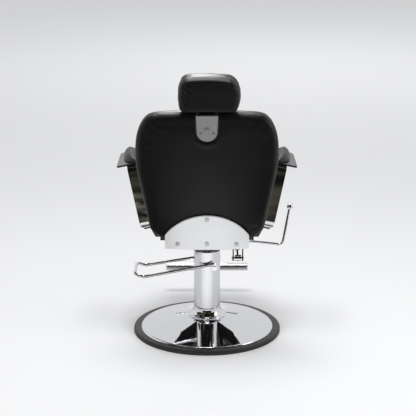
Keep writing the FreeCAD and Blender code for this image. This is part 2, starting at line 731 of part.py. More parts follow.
# The return spring stands in the bore under the plunger.
spring_room = size("plunger_top - plunger_length - plunger_bore_floor")
wire = size("spring_wire")
coil_height = spring_room - 2 * wire - 1
coil_radius = size("plunger_radius") - wire - 0.6
helix = Part.makeHelix(coil_height / 8, coil_height, coil_radius)
ring = Part.Wire([Part.Circle(Vector(coil_radius, 0, 0), Vector(0, 1, 0), wire).toShape()])
spring = Part.Wire(helix.Edges).makePipeShell([ring], True, True)
spring.translate(Vector(size("fork_bar_x"), 0, size("plunger_bore_floor") + wire + 0.5))
node(made(spring), "plunger_spring")


def pedal_points():
    """The loop from one root round the end bar to the other."""
    side = size("pedal_half_width")
    corner = size("pedal_corner")
    reach = size("pedal_reach")
    end_height = size("pedal_end_z")
    low = Vector(size("pedal_low_x"), side, size("pedal_low_z"))
    half = [
        Vector(size("pedal_axis_x"), size("pedal_root_half"), size("pedal_root_z")),
        low,
        Vector(reach - corner, side, low.z + (end_height - low.z) * 0.6),
        Vector(reach, side - corner, end_height),
    ]
    return half + [Vector(point.x, -point.y, point.z) for point in reversed(half)]


loop = made(bent_rod(pedal_points(), size("pedal_bend"), size("pedal_rod_radius")))
bosses = []
for near in ("pedal_root_half - boss_length / 2", "-pedal_root_half - boss_length / 2"):
    bosses.append(rod("Y", "pedal_axis_x", near, "pedal_axis_z", "boss_radius", "boss_length"))
    bosses.append(block("pedal_axis_x - pedal_rod_radius", near, "pedal_axis_z",
                        "pedal_rod_radius * 2", "boss_length", "pedal_root_z - pedal_axis_z"))
node(without(
    joined(loop, *bosses),
    rod("Y", "pedal_axis_x", "-pedal_root_half * 2", "pedal_axis_z", "shaft_radius",
        "pedal_root_half * 4")), "pedal_loop")

node(group(
    rod("Y", "pedal_axis_x", shaft_half, "pedal_axis_z", "stud_radius", "stud_height"),
    rod("Y", "pedal_axis_x", "-(%s) - stud_height" % shaft_half, "pedal_axis_z", "stud_radius",
        "stud_height")), "pedal_studs")

# Seat mount: a square plate and hub that turn on the spindle

mount_corner = "mount_side / 2 - mount_bolt_edge"
mount_spots = [
    (sign_x + mount_corner, sign_y + mount_corner)
    for sign_x, sign_y in (("(", "("), ("-(", "("), ("(", "-("), ("-(", "-("))]
mount_spots = [(x + ")", y + ")") for x, y in mount_spots]
SPINDLE_BORE = "spindle_radius + shaft_fit"
node(without(
    block("-mount_side / 2", "-mount_side / 2", "mount_foot", "mount_side", "mount_side",
          "mount_thick"),
    rod("Z", "0", "0", "mount_foot - 1", SPINDLE_BORE, "mount_thick + 2"),
    *[rod("Z", x, y, "mount_foot - 1", "screw_radius + screw_fit", "mount_thick + 2")
      for x, y in mount_spots]), "seat_mount")

# Bolts of the seat, all from below: mount and footrest post on the rails, board on the cross bars

RAIL_MIDDLE = "(rail_inside + rail_width / 2)"
post_spots = [
    (x, y) for x in (RAIL_MIDDLE, "-" + RAIL_MIDDLE)
    for y in ("post_plate_front + bolt_edge", "post_root - bolt_edge")]


board_spots = [
    (x, y) for x in ("board_screw_side", "-board_screw_side")
    for y in ("outrigger_front", "outrigger_rear")]


def rail_bolt(x, y, foot):
    return joined(
        hexagon("Z", x, y, foot + " - screw_radius * 1.3", "screw_radius * 1.9",
                "screw_radius * 1.3"),
        rod("Z", x, y, foot, "screw_radius", "mount_top + rail_wall - (%s)" % foot))


node(group(
    *[rail_bolt(x, y, "mount_foot") for x, y in mount_spots],
    *[rail_bolt(x, y, "mount_top - post_plate") for x, y in post_spots],
    *[joined(
        rod("Z", x, y, "rail_top - screw_head_height", "screw_head_radius", "screw_head_height"),
        rod("Z", x, y, "rail_top", "screw_radius", "outrigger_thick + board_thick"))
      for x, y in board_spots]), "seat_bolts")

# Seat frame: two square rails with hinge ears at the rear, welded to a front cross tube


def rail_at(low):
    """One square tube rail, with holes for the mount bolts on its underside."""
    return without(
        block(low, "rail_front", "mount_top", "rail_width", "rail_rear - rail_front",
              "rail_height"),
        block(low + " + rail_wall", "rail_front - 1", "mount_top + rail_wall",
              "rail_width - rail_wall * 2", "rail_rear - rail_front + 2",
              "rail_height - rail_wall * 2"),
        *[rod("Z", x, y, "mount_top - 1", "screw_radius + screw_fit", "rail_wall + 2")
          for x, y in mount_spots + post_spots])


def hinge_ear(low):
    """A plate that rises from the rear of a rail to the recline hinge."""
    body = new_body()
    head = "ear_radius"
    profile = outline(body, "YZ_Plane", [
        ("rail_rear - ear_foot", "mount_top"),
        ("rail_rear", "mount_top"),
        ("hinge_y + %s * 0.5" % head, "hinge_z - %s * 0.866" % head, head),
        ("hinge_y + %s * 0.5" % head, "hinge_z + %s * 0.866" % head, head),
        ("hinge_y - %s * 0.5" % head, "hinge_z + %s * 0.866" % head),
        ("rail_rear", "rail_top"),
        ("rail_rear - ear_foot", "rail_top"),
    ], lift=low)
    pad(body, profile, "ear_thick")
    return body


CROSS_WIDTH = "rail_width"
front_tube = without(
    block("-rail_inside", "rail_front", "mount_top", "rail_inside * 2", CROSS_WIDTH,
          "rail_height"),
    block("-rail_inside - 1", "rail_front + rail_wall", "mount_top + rail_wall",
          "rail_inside * 2 + 2", CROSS_WIDTH + " - rail_wall * 2",
          "rail_height - rail_wall * 2"))
node(without(
    joined(
        rail_at("rail_inside"), rail_at("-rail_outside"), front_tube,
        hinge_ear("rail_outside - ear_thick"), hinge_ear("-rail_outside")),
    rod("X", "-rail_outside - 1", "hinge_y", "hinge_z", "hinge_pin_radius",
        "rail_outside * 2 + 2"),
    rod("X", "-rail_outside - 1", "lever_y", "lever_z", "lever_radius + shaft_fit",
        "ear_thick + 2")), "seat_frame")

# Cross bars that carry the arms: flat across the rails, cranked up under each arm strip

RISE_X = "arm_foot_x - strip_width / 2 * lean_cos"
RISE_Z = "arm_foot_z + strip_width / 2 * lean_sin - strip_thick / 2 * lean_cos"
TIP_X = "arm_foot_x + (strip_width / 2 - toe_in) * lean_cos"
TIP_Z = "arm_foot_z - (strip_width / 2 - toe_in) * lean_sin - strip_thick / 2 * lean_cos"


def outrigger(middle):
    body = new_body()
    top_corner = ("arm_foot_x - strip_width / 2 - crank_top", "rail_top + outrigger_thick")
    low_corner = ("arm_foot_x - strip_width / 2 - crank_foot", "rail_top")
    edge = "strip_thick / 2 * lean_sin"
    right_half = [
        low_corner,
        (RISE_X + " + crank_lean - " + edge, RISE_Z + " - outrigger_thick * lean_cos"),
        (TIP_X + " - (outrigger_thick + strip_thick / 2) * lean_sin",
         TIP_Z + " - outrigger_thick * lean_cos"),
        (TIP_X + " - " + edge, TIP_Z),
        (RISE_X + " - " + edge, RISE_Z),
        top_corner,
    ]
    left_half = [("-(%s)" % x, z) for x, z in reversed(right_half)]
    half_width = "outrigger_width / 2"
    profile = outline(body, "XZ_Plane", right_half + left_half,
                      lift="-(%s) - %s" % (middle, half_width))
    pad(body, profile, "outrigger_width")
    return body


def arm_bolt_holes(middle):
    """Holes through a cross bar for the two arm bolts, square to the leaning strips."""
    hole = rod("Z", "0", middle, "-strip_thick * 3", "screw_radius + screw_fit", "strip_thick * 6")
    leaning = on_arm(group(hole))
    return [leaning, mirrored(leaning)]


OUTRIGGERS = ("outrigger_front", "outrigger_rear")
node(group(*[
    without(outrigger(middle), *arm_bolt_holes(middle),
            *[rod("Z", x, y, "rail_top - 1", "screw_radius + screw_fit", "outrigger_thick + 2")
              for x, y in board_spots if y == middle])
    for middle in OUTRIGGERS]), "arm_cross_bars")

# Arms: a C of flat bar open to the front, a tray on it and a pad on the tray


def arm_strip():
    half = size("strip_thick / 2")
    rear = size("strip_rear") - half
    top = size("arm_height") - half
    path = bent_path([
        Vector(0, size("strip_front_low"), 0),
        Vector(0, rear, 0),
        Vector(0, rear, top),
        Vector(0, size("strip_front_top"), top),
    ], size("strip_bend"))
    wide = size("strip_width / 2")
    front = size("strip_front_low")
    corners = [Vector(x, front, z) for x, z in (
        (-wide, -half), (wide, -half), (wide, half), (-wide, half), (-wide, -half))]
    return swept(path, Part.makePolygon(corners))


tray_spots = ["strip_front_top + 25", "strip_rear - strip_bend - 35"]
strip_holes = [
    rod("Z", "0", middle, "-strip_thick", "screw_radius + screw_fit", "strip_thick * 2")
    for middle in OUTRIGGERS]
tray_holes = [
    rod("Z", "0", spot, "arm_height - strip_thick * 2", "screw_radius + screw_fit",
        "strip_thick * 2 + tray_thick / 2") for spot in tray_spots]
toe_body = new_body()
pad(toe_body, outline(toe_body, "XZ_Plane", [
    ("strip_width / 2 - toe_in", "-strip_thick / 2", "toe_radius"),
    ("strip_width / 2", "toe_rise - strip_thick / 2"),
    ("strip_width / 2 + 1", "toe_rise - strip_thick / 2"),
    ("strip_width / 2 + 1", "-strip_thick"),
    ("strip_width / 2 - toe_in", "-strip_thick"),
], lift="-strip_rear - 1"), "strip_rear - strip_front_low + 2")
strip = on_arm(without(made(arm_strip()), toe_body, *strip_holes, *tray_holes))

tray_body = new_body()
pad(tray_body, outline(tray_body, "XY_Plane", [
    ("-tray_inside + tray_nose", "tray_front"),
    ("tray_outside - tray_nose", "tray_front", "tray_nose"),
    ("tray_outside", "tray_front + tray_nose"),
    ("tray_outside", "tray_rear - tray_heel", "tray_heel"),
    ("tray_outside - tray_heel", "tray_rear"),
    ("-tray_inside + tray_heel", "tray_rear", "tray_heel"),
    ("-tray_inside", "tray_rear - tray_heel"),
    ("-tray_inside", "tray_front + tray_nose", "tray_nose"),
], lift="arm_height"), "tray_thick")
tray = on_arm(without(tray_body, *tray_holes))

PAD_LOW = "pad_shift - pad_width / 2"
PAD_HIGH = "pad_shift + pad_width / 2"
pad_body = new_body()
pad_slab = pad(pad_body, outline(pad_body, "XY_Plane", [
    (PAD_LOW + " + pad_sweep", "pad_front"),
    (PAD_HIGH + " - pad_corner", "pad_front", "pad_corner"),
    (PAD_HIGH, "pad_front + pad_corner"),
    (PAD_HIGH, "pad_rear - pad_sweep", "pad_sweep"),
    (PAD_HIGH + " - pad_sweep", "pad_rear"),
    (PAD_LOW + " + pad_corner", "pad_rear", "pad_corner"),
    (PAD_LOW, "pad_rear - pad_corner"),
    (PAD_LOW, "pad_front + pad_sweep", "pad_sweep"),
], lift="arm_height + tray_thick"), "pad_thick")
doc.recompute()
top_edges = [
    "Edge%d" % (number + 1) for number, edge in enumerate(pad_slab.Shape.Edges)
    if edge.BoundBox.ZMin > size("arm_height + tray_thick + pad_thick") - 0.01]
pad_round = pad_body.newObject("PartDesign::Fillet", "Fillet")
pad_round.Base = (pad_slab, top_edges)
bind(pad_round, Radius="pad_round")
arm_pad = on_arm(pad_body)

for part, label in ((strip, "arm_strip"), (tray, "arm_tray"), (arm_pad, "arm_pad")):
    node(part, label + "_left")
    node(mirrored(part), label + "_right")

arm_screw_set = on_arm(group(
    *[joined(
        rod("Z", "0", middle, "strip_thick / 2", "screw_head_radius", "screw_head_height"),
        rod("Z", "0", middle, "-strip_thick / 2 - outrigger_thick", "screw_radius",
            "strip_thick + outrigger_thick + 1"))
      for middle in OUTRIGGERS],
    *[joined(
        rod("Z", "0", spot, "arm_height - strip_thick - screw_head_height",
            "screw_head_radius", "screw_head_height"),
        rod("Z", "0", spot, "arm_height - strip_thick - 1", "screw_radius",
            "strip_thick + tray_thick / 2"))
      for spot in tray_spots]))
node(group(arm_screw_set, mirrored(arm_screw_set)), "arm_screws")

# Seat: plywood board and cushion


def rounded_slab(half_width, front, rear, foot, thick, corner, edge_round):
    """A soft block with round plan corners and round upper and lower edges."""
    left, right = -half_width, half_width
    middle = corner * (1 - math.sqrt(0.5))
    path = [
        Part.LineSegment(Vector(left + corner, front, foot), Vector(right - corner, front, foot)),
        Part.Arc(Vector(right - corner, front, foot), Vector(right - middle, front + middle, foot),
                 Vector(right, front + corner, foot)),
        Part.LineSegment(Vector(right, front + corner, foot), Vector(right, rear - corner, foot)),
        Part.Arc(Vector(right, rear - corner, foot), Vector(right - middle, rear - middle, foot),
                 Vector(right - corner, rear, foot)),
        Part.LineSegment(Vector(right - corner, rear, foot), Vector(left + corner, rear, foot)),
        Part.Arc(Vector(left + corner, rear, foot), Vector(left + middle, rear - middle, foot),
                 Vector(left, rear - corner, foot)),
        Part.LineSegment(Vector(left, rear - corner, foot), Vector(left, front + corner, foot)),
        Part.Arc(Vector(left, front + corner, foot), Vector(left + middle, front + middle, foot),
                 Vector(left + corner, front, foot)),
    ]
    face = Part.Face(Part.Wire([piece.toShape() for piece in path]))
    slab = face.extrude(Vector(0, 0, thick))
    level = [
        edge for edge in slab.Edges
        if edge.BoundBox.ZLength < 0.01]
    return slab.makeFillet(edge_round, level)


node(without(
    block("-seat_board_half", "seat_front + board_inset", "board_foot", "seat_board_half * 2",
          "seat_rear - seat_front - board_inset * 2", "board_thick"),
    *[rod("Z", x, y, "board_foot - 1", "screw_radius + screw_fit", "board_thick + 2")
      for x, y in board_spots]), "seat_board")

node(made(rounded_slab(
    size("seat_half"), size("seat_front"), size("seat_rear"), size("seat_foot"),
    size("seat_thick"), size("seat_corner"), size("seat_round"))), "seat_cushion")

# Footrest: a bent post under the seat and a T-bar across its foot

post_points = [
    Vector(0, size("post_root"), size("post_top_z")),
    Vector(0, size("post_knee_y"), size("post_top_z")),
    Vector(0, size("footrest_y"), size("footrest_z")),
]
post = made(bent_rod(post_points, size("post_bend"), size("post_radius")))
node(without(
    joined(
        post,
        block("-rail_outside", "post_plate_front", "mount_top - post_plate",
              "rail_outside * 2", "post_plate_depth", "post_plate")),
    rod("X", "-footrest_half", "footrest_y", "footrest_z", "footrest_radius",
        "footrest_half * 2"),
    *[rod("Z", x, y, "mount_top - post_plate - 1", "screw_radius + screw_fit", "post_plate + 2")
      for x, y in post_spots]), "footrest_post")
node(rod("X", "-footrest_half", "footrest_y", "footrest_z", "footrest_radius",
         "footrest_half * 2"), "footrest_bar")


def end_cap(start):
    """A plug with a rounded rim on one end of the T-bar."""
    disc = rod("X", start, "footrest_y", "footrest_z", "footrest_radius", "footrest_cap")
    rounded = doc.addObject("Part::Fillet", "Rounded")
    rounded.Base = disc
    doc.recompute()
    outer = max(range(len(disc.Shape.Edges)),
                key=lambda number: abs(disc.Shape.Edges[number].CenterOfMass.x))
    rim = size("footrest_cap * 0.7")
    rounded.Edges = [(outer + 1, rim, rim)]
    return rounded


node(group(end_cap("footrest_half"), end_cap("-footrest_half - footrest_cap")), "footrest_caps")

# Recline hinge pins, pressed into the ears

pins = []
for start, head in (
        ("rail_outside - ear_thick", "rail_outside - ear_thick - pin_head_thick"),
        ("-rail_outside - knuckle_length - pin_end", "-rail_outside + ear_thick")):
    pins.append(joined(
        rod("X", start, "hinge_y", "hinge_z", "hinge_pin_radius",
            "ear_thick + knuckle_length + pin_end"),
        rod("X", head, "hinge_y", "hinge_z", "pin_head_radius", "pin_head_thick")))
node(group(*pins), "hinge_pins")

# Back: hinge bars, board, front cushion and padded rear panel


def rounded_loop(corners):
    """A closed wire of straight runs, with each corner cut back as far as its curve reaches."""
    edges = []
    ends = []
    for index, (corner, radius, reach) in enumerate(corners):
        back = (corners[index - 1][0] - corner).normalize()
        on = (corners[(index + 1) % len(corners)][0] - corner).normalize()
        half = back.getAngle(on) / 2
        cut = reach or radius / math.tan(half)
        radius = cut * math.tan(half)
        middle = corner + (back + on).normalize() * (radius / math.sin(half) - radius)
        ends.append((corner + back * cut, middle, corner + on * cut))
    for (enter, middle, leave), following in zip(ends, ends[1:] + ends[:1]):
        edges.append(Part.Arc(enter, middle, leave).toShape())
        edges.append(Part.LineSegment(leave, following[0]).toShape())
    return Part.Wire(edges)


def back_outline(depth):
    """The outline of the back in its own frame: narrow hips, long flanks and broad shoulders."""
    top = size("back_height")
    right = [
        (size("back_sole_half"), size("back_foot"), size("back_sole_bend"), 0),
        (size("back_hip_half"), size("back_hip_height"), size("back_hip_bend"), 0),
        (size("back_wide_half"), size("back_wide_low"), 0, size("back_flank_low")),
        (size("back_wide_half"), size("back_wide_high"), 0, size("back_flank_high")),
        (size("back_shoulder_half"), top - size("back_shoulder_drop"),
         size("back_shoulder_bend"), 0),
    ]
    corners = [(Vector(x, depth, z), radius, reach) for x, z, radius, reach in right]
    corners.append((Vector(0, depth, top), 0, size("back_crown_reach")))
    corners += [(Vector(-x, depth, z), radius, reach) for x, z, radius, reach in reversed(right)]
    return rounded_loop(corners)


def back_slab(rear, front, round_rear=0, round_front=0, inset=0):
    """A slice of the back between two depths, with its edges rolled."""
    loop = back_outline(rear)
    if inset:
        loop = loop.makeOffset2D(-inset)
    face = Part.Face(loop)
    slab = face.extrude(Vector(0, front - rear, 0))
    for depth, radius in ((rear, round_rear), (front, round_front)):
        if radius:
            rim = [
                edge for edge in slab.Edges
                if abs(edge.BoundBox.YMin - depth) < 0.01 and abs(edge.BoundBox.YMax - depth) < 0.01]
            slab = slab.makeFillet(radius, rim)
    return slab


def hinge_slots():
    """Room for the ears and knuckles at the foot of the back, as long as the hinge turns."""
    low = "rail_outside - ear_thick - slot_inside"
    wide = "slot_inside + ear_thick + knuckle_length + slot_outside"
    return [
        block(start, "back_front - 1", "0", wide, "-back_front - panel_thick + 2",
              "hinge_up + knuckle_radius + slot_top")
        for start in (low, "-(%s) - (%s)" % (low, wide))]


plate_spots = [
    ("0", "plate_screw_low"), ("plate_screw_side", "plate_screw_low"),
    ("-plate_screw_side", "plate_screw_low"), ("0", "plate_screw_top")]


def screw_holes(spots, extra="screw_fit"):
    """Holes from the rear face of the plate through the board."""
    return [
        rod("Y", x, "board_front - 1", z, "screw_radius + " + extra,
            "plate_stand - board_front + 2")
        for x, z in spots]


def hinge_bar(low):
    """A knuckle with a flat bar that bolts on the back board."""
    return joined(
        rod("X", low, "hinge_in", "hinge_up", "knuckle_radius", "knuckle_length"),
        block(low, "-panel_thick", "hinge_up", "knuckle_length", "hinge_bar_thick",
              "hinge_bar_top - hinge_up"))


BAR_LOW = {"left": "rail_outside + bearing_gap",
           "right": "-rail_outside - bearing_gap - knuckle_length"}
bar_bolt_heights = (
    "hinge_bar_top - bar_bolt_end - bar_bolt_pitch", "hinge_bar_top - bar_bolt_end")
bar_spots = [
    ("%s + knuckle_length / 2" % BAR_LOW[side], z)
    for side in BAR_LOW for z in bar_bolt_heights]
node(on_back(group(*[
    without(
        hinge_bar(BAR_LOW[side]),
        rod("X", "-rail_outside * 2", "hinge_in", "hinge_up", "hinge_pin_radius + shaft_fit",
            "rail_outside * 4"),
        *screw_holes(bar_spots))
    for side in BAR_LOW])), "hinge_bars")

node(on_back(group(*[
    joined(
        rod("Y", x, "-panel_thick + hinge_bar_thick", z, "screw_radius * 1.6", "screw_radius"),
        rod("Y", x, "board_front", z, "screw_radius",
            "board_thick + hinge_bar_thick + 1"))
    for x, z in bar_spots])), "hinge_bolts")

# The clevis for the locking strut hangs from the board on the sitter's right.


def clevis_ear(low):
    body = new_body()
    profile = outline(body, "YZ_Plane", [
        ("-panel_thick", "back_foot"),
        ("pin_in - clevis_radius", "pin_up", "clevis_radius"),
        ("pin_in", "pin_up - clevis_radius", "clevis_radius"),
        ("pin_in + clevis_radius", "pin_up"),
        ("-2", "-plate_wall * 2"),
        ("-2", "back_foot"),
        ("-panel_thick + clevis_lip", "recess_top - clevis_drop"),
        ("-panel_thick", "recess_top - clevis_drop"),
    ], lift=low)
    pad(body, profile, "clevis_wall")
    return body


clevis_low = "strut_x - clevis_half"
node(on_back(without(
    joined(
        clevis_ear(clevis_low),
        clevis_ear("strut_x + clevis_half - clevis_wall"),
        block(clevis_low, "-panel_thick", "back_foot", "clevis_half * 2", "clevis_wall",
              "recess_top - clevis_drop - back_foot")),
    rod("X", clevis_low + " - 1", "pin_in", "pin_up", "strut_pin_radius", "clevis_half * 2 + 2"),
    *screw_holes(plate_spots))), "strut_clevis")

node(on_back(joined(
    rod("X", clevis_low + " - 2", "pin_in", "pin_up", "strut_pin_radius", "clevis_half * 2 + 2"),
    rod("X", "strut_x + clevis_half", "pin_in", "pin_up", "strut_pin_radius + 3", "3"))),
    "strut_rear_pin")

guide_block = block(
    "-guide_half - bearing_gap", "-panel_thick - 1", "guide_low - bearing_gap",
    "(guide_half + bearing_gap) * 2", "panel_thick - guide_rear + 1", "back_height")


def tongue_outline(body, low_half, top_half, low, top, lift):
    """A U: straight sides that taper a little to a round lower end."""
    return outline(body, "XZ_Plane", [
        ("0", low, low_half),
        (low_half, "(%s) + (%s)" % (low, low_half)),
        (top_half, top),
        ("-(%s)" % top_half, top),
        ("-(%s)" % low_half, "(%s) + (%s)" % (low, low_half), low_half),
    ], lift=lift)


tongue_recess = new_body()
pad(tongue_recess, tongue_outline(
    tongue_recess, "tongue_foot_half + tongue_gap", "tongue_half + tongue_gap",
    "tongue_low - tongue_gap", "back_height + 10", "-1"), "guide_rear + 1")


def board_slab():
    """The board inside the edge of the cushion, but as low as the back at its foot."""
    whole = back_slab(-size("panel_thick"), size("board_front"))
    foot = Part.makeBox(
        size("recess_half * 2"), size("board_thick"), size("recess_top"),
        Vector(-size("recess_half"), size("board_front"), 0))
    inner = back_slab(-size("panel_thick"), size("board_front"), inset=size("back_wrap"))
    return inner.fuse(whole.common(foot)).removeSplitter()


node(on_back(without(
    made(board_slab()), *hinge_slots(), *screw_holes(plate_spots), *screw_holes(bar_spots))),
    "back_board")

node(on_back(without(
    made(back_slab(-size("panel_thick"), size("back_front"), 0, size("back_pad_round"))
         .cut(board_slab())),
    *hinge_slots())), "back_cushion")

node(on_back(without(
    made(back_slab(0, -size("panel_thick"), size("panel_round"), 0)),
    block("-recess_half", "-panel_thick - 1", "-back_foot", "recess_half * 2", "panel_thick + 2",
          "recess_top + back_foot"),
    guide_block, tongue_recess, *screw_holes(plate_spots))), "back_panel")

# Steel plate over the foot of the back: a shallow arched tray, held by four button heads

plate_body = new_body()
ARCH = "(plate_half ^ 2 + (plate_crown - plate_side) ^ 2) / (plate_crown - plate_side) / 2"
BELLY = "(plate_half ^ 2 + plate_belly ^ 2) / plate_belly / 2"
pad(plate_body, outline(plate_body, "XZ_Plane", [
    ("-plate_half", "plate_belly", BELLY),
    ("plate_half", "plate_belly"),
    ("plate_half", "plate_side", ARCH),
    ("0", "plate_crown", ARCH),
    ("-plate_half", "plate_side"),
]), "plate_stand", reverse=True)
INSIDE = "plate_half - plate_wall"
pocket(plate_body, outline(plate_body, "XZ_Plane", [
    ("-(%s)" % INSIDE, "plate_belly + plate_wall", BELLY),
    (INSIDE, "plate_belly + plate_wall"),
    (INSIDE, "plate_side", ARCH + " - plate_wall"),
    ("0", "plate_crown - plate_wall", ARCH + " - plate_wall"),
    ("-(%s)" % INSIDE, "plate_side"),
]), "plate_stand - plate_wall")
node(on_back(without(plate_body, *screw_holes(plate_spots))), "back_plate")

node(on_back(group(*[
    joined(
        rod("Y", x, "plate_stand", z, "screw_head_radius", "screw_head_height"),
        rod("Y", x, "board_front", z, "screw_radius", "plate_stand - board_front + 1"))
    for x, z in plate_spots])), "plate_screws")

# Headrest guide and lock plate

POST_SPOTS = ("headrest_post_half", "-headrest_post_half")
clamp_spot = ("0", "clamp_height")
small_spots = [("small_screw_side", "small_screw_height"), ("-small_screw_side", "small_screw_height")]


def lock_holes():
    return [
        rod("Y", x, "-guide_rear - guide_depth - 1", z, radius, "guide_depth + guide_rear + 9")
        for (x, z), radius in (
            (clamp_spot, "screw_radius + screw_fit"),
            (small_spots[0], "screw_radius / 2 + screw_fit"),
            (small_spots[1], "screw_radius / 2 + screw_fit"))]


node(on_back(without(
    block("-guide_half", "-guide_rear - guide_depth", "guide_low", "guide_half * 2",
          "guide_depth", "guide_top - guide_low"),
    *[rod("Z", x, "post_in", "guide_low - 1", "headrest_post_radius + shaft_fit",
          "guide_top - guide_low + 2") for x in POST_SPOTS],
    *lock_holes())), "headrest_guide")

tongue_body = new_body()
pad(tongue_body, tongue_outline(
    tongue_body, "tongue_foot_half", "tongue_half", "tongue_low", "tongue_top",
    "guide_rear - tongue_thick"), "tongue_thick")
node(on_back(without(tongue_body, *lock_holes())), "lock_plate")

LOCK_FACE = "tongue_thick - guide_rear"
node(on_back(group(*[
    joined(
        rod("Y", x, LOCK_FACE, z, head, height),
        rod("Y", x, "-guide_rear - guide_depth + 2", z, shank,
            "guide_depth + tongue_thick - 1"))
    for (x, z), head, height, shank in (
        (clamp_spot, "screw_head_radius", "screw_head_height", "screw_radius"),
        (small_spots[0], "small_screw_radius", "small_screw_head", "screw_radius / 2"),
        (small_spots[1], "small_screw_radius", "small_screw_head", "screw_radius / 2"))])), "lock_bolts")

# Headrest: two posts on a cross bar, a board and a cushion

post_top = "headrest_foot + headrest_bar"


def headrest_cross_bar():
    """A square bar over the tops of the two posts."""
    return block(
        "-headrest_post_half - headrest_bar_end", "post_in - headrest_post_radius",
        post_top + " - headrest_post_radius * 2",
        "(headrest_post_half + headrest_bar_end) * 2", "headrest_post_radius * 2",
        "headrest_post_radius * 2")


node(on_back(joined(
    *[rod("Z", x, "post_in", "headrest_post_low", "headrest_post_radius",
          "%s - headrest_post_low" % post_top) for x in POST_SPOTS],
    headrest_cross_bar())), "headrest_posts")

headrest_room = [
    rod("Z", x, "post_in", "headrest_foot - 1", "headrest_post_radius + 1", "headrest_bar")
    for x in POST_SPOTS]
headrest_room.append(headrest_cross_bar())
headrest_board = block(
    "-headrest_half + headrest_board_end",
    "post_in - headrest_post_radius - headrest_board_thick",
    "headrest_foot + headrest_board_edge", "(headrest_half - headrest_board_end) * 2",
    "headrest_board_thick", "headrest_height - headrest_board_edge * 2")
node(on_back(group(headrest_board)), "headrest_board")


def headrest_block():
    slab = Part.makeBox(
        size("headrest_half * 2"), size("headrest_depth"), size("headrest_height"),
        Vector(-size("headrest_half"), size("headrest_rear - headrest_depth"),
               size("headrest_foot")))
    foot = size("headrest_foot")
    upright = [edge for edge in slab.Edges if edge.BoundBox.ZLength > size("headrest_height") / 2]
    slab = slab.makeFillet(size("headrest_end"), upright)
    for level, radius in (
            (foot + size("headrest_height"), "headrest_round"), (foot, "headrest_sole")):
        rim = [edge for edge in slab.Edges
               if abs(edge.BoundBox.ZMin - level) < 0.01 and abs(edge.BoundBox.ZMax - level) < 0.01]
        slab = slab.makeFillet(size(radius), rim)
    return slab


node(on_back(without(made(headrest_block()), *headrest_room, headrest_board)),
     "headrest_cushion")

# Locking gas strut: the cylinder pins to the seat frame, the rod to the back

strut_bracket_low = "strut_x - clevis_half"


def bracket_ear(low):
    body = new_body()
    profile = outline(body, "YZ_Plane", [
        ("outrigger_front - clevis_radius", "strut_front_z", "clevis_radius"),
        ("outrigger_front", "strut_front_z - clevis_radius", "clevis_radius"),
        ("outrigger_front + clevis_radius", "strut_front_z"),
        ("outrigger_front + clevis_radius", "rail_top"),
        ("outrigger_front - clevis_radius", "rail_top"),
    ], lift=low)
    pad(body, profile, "clevis_wall")
    return body


node(without(
    joined(
        bracket_ear(strut_bracket_low),
        bracket_ear("strut_x + clevis_half - clevis_wall"),
        block(strut_bracket_low, "outrigger_front - clevis_radius", "rail_top - clevis_wall",
              "clevis_half * 2", "clevis_radius * 2", "clevis_wall")),
    rod("X", strut_bracket_low + " - 1", "outrigger_front", "strut_front_z",
        "strut_pin_radius", "clevis_half * 2 + 2")), "strut_bracket")

node(joined(
    rod("X", strut_bracket_low + " - 2", "outrigger_front", "strut_front_z",
        "strut_pin_radius", "clevis_half * 2 + 2"),
    rod("X", "strut_x + clevis_half", "outrigger_front", "strut_front_z",
        "strut_pin_radius + 3", "3")), "strut_front_pin")

# The strut is drawn along Y from its rear pin and then tipped onto the line between the pins.
STRUT_LENGTH = "strut_pin_y - outrigger_front"


def on_strut(thing):
    thing.Placement.Rotation = Rotation(Vector(-1, 0, 0), 1)
    bind(thing, Placement__Rotation__Angle="atan((strut_front_z - strut_pin_z) / (%s))"
         % STRUT_LENGTH)
    bind(thing, Placement__Base__x="strut_x", Placement__Base__y="strut_pin_y",
         Placement__Base__z="strut_pin_z")
    return thing


EYE_HALF = "eye_width / 2"
MOUTH = "strut_mouth_y - strut_pin_y"
HEEL = "strut_heel_y - strut_pin_y"
node(on_strut(without(
    joined(
        rod("X", "-" + EYE_HALF, "0", "0", "eye_radius", "eye_width"),
        rod("Y", "0", MOUTH + " - strut_rod_inside", "0", "strut_rod_radius",
            "-(%s) + strut_rod_inside - eye_radius / 2" % MOUTH),
        rod("Y", "0", MOUTH + " - strut_rod_inside", "0",
            "strut_radius - strut_wall - shaft_fit", "strut_piston")),
    rod("X", "-eye_width", "0", "0", "strut_pin_radius + shaft_fit", "eye_width * 2"))),
    "strut_rod")

node(on_strut(without(
    joined(
        rod("Y", "0", HEEL, "0", "strut_radius", "(%s) - (%s)" % (MOUTH, HEEL)),
        rod("X", "-" + EYE_HALF, "-(%s)" % STRUT_LENGTH, "0", "front_eye_radius", "eye_width"),
        rod("Y", "0", "-(%s) + strut_pin_radius + strut_play" % STRUT_LENGTH, "0",
            "front_eye_radius * 0.6", "(%s) + (%s)" % (HEEL, STRUT_LENGTH))),
    rod("Y", "0", HEEL + " + strut_heel_wall", "0", "strut_radius - strut_wall",
        "(%s) - (%s) - strut_heel_wall - strut_mouth_wall" % (MOUTH, HEEL)),
    rod("Y", "0", MOUTH + " - strut_mouth_wall - 1", "0", "strut_rod_radius + shaft_fit",
        "strut_mouth_wall + 2"),
    rod("X", "-eye_width", "-(%s)" % STRUT_LENGTH, "0", "strut_pin_radius + strut_play",
        "eye_width * 2"))), "strut_cylinder")

# Recline lever: a bent rod in a bush on the hinge ear, with a ball knob

node(without(
    rod("X", "-lever_bush_end", "lever_y", "lever_z", "lever_bush_radius",
        "lever_bush_end - rail_outside"),
    rod("X", "-lever_bush_end - 1", "lever_y", "lever_z", "lever_radius + shaft_fit",
        "lever_bush_end")), "lever_bush")

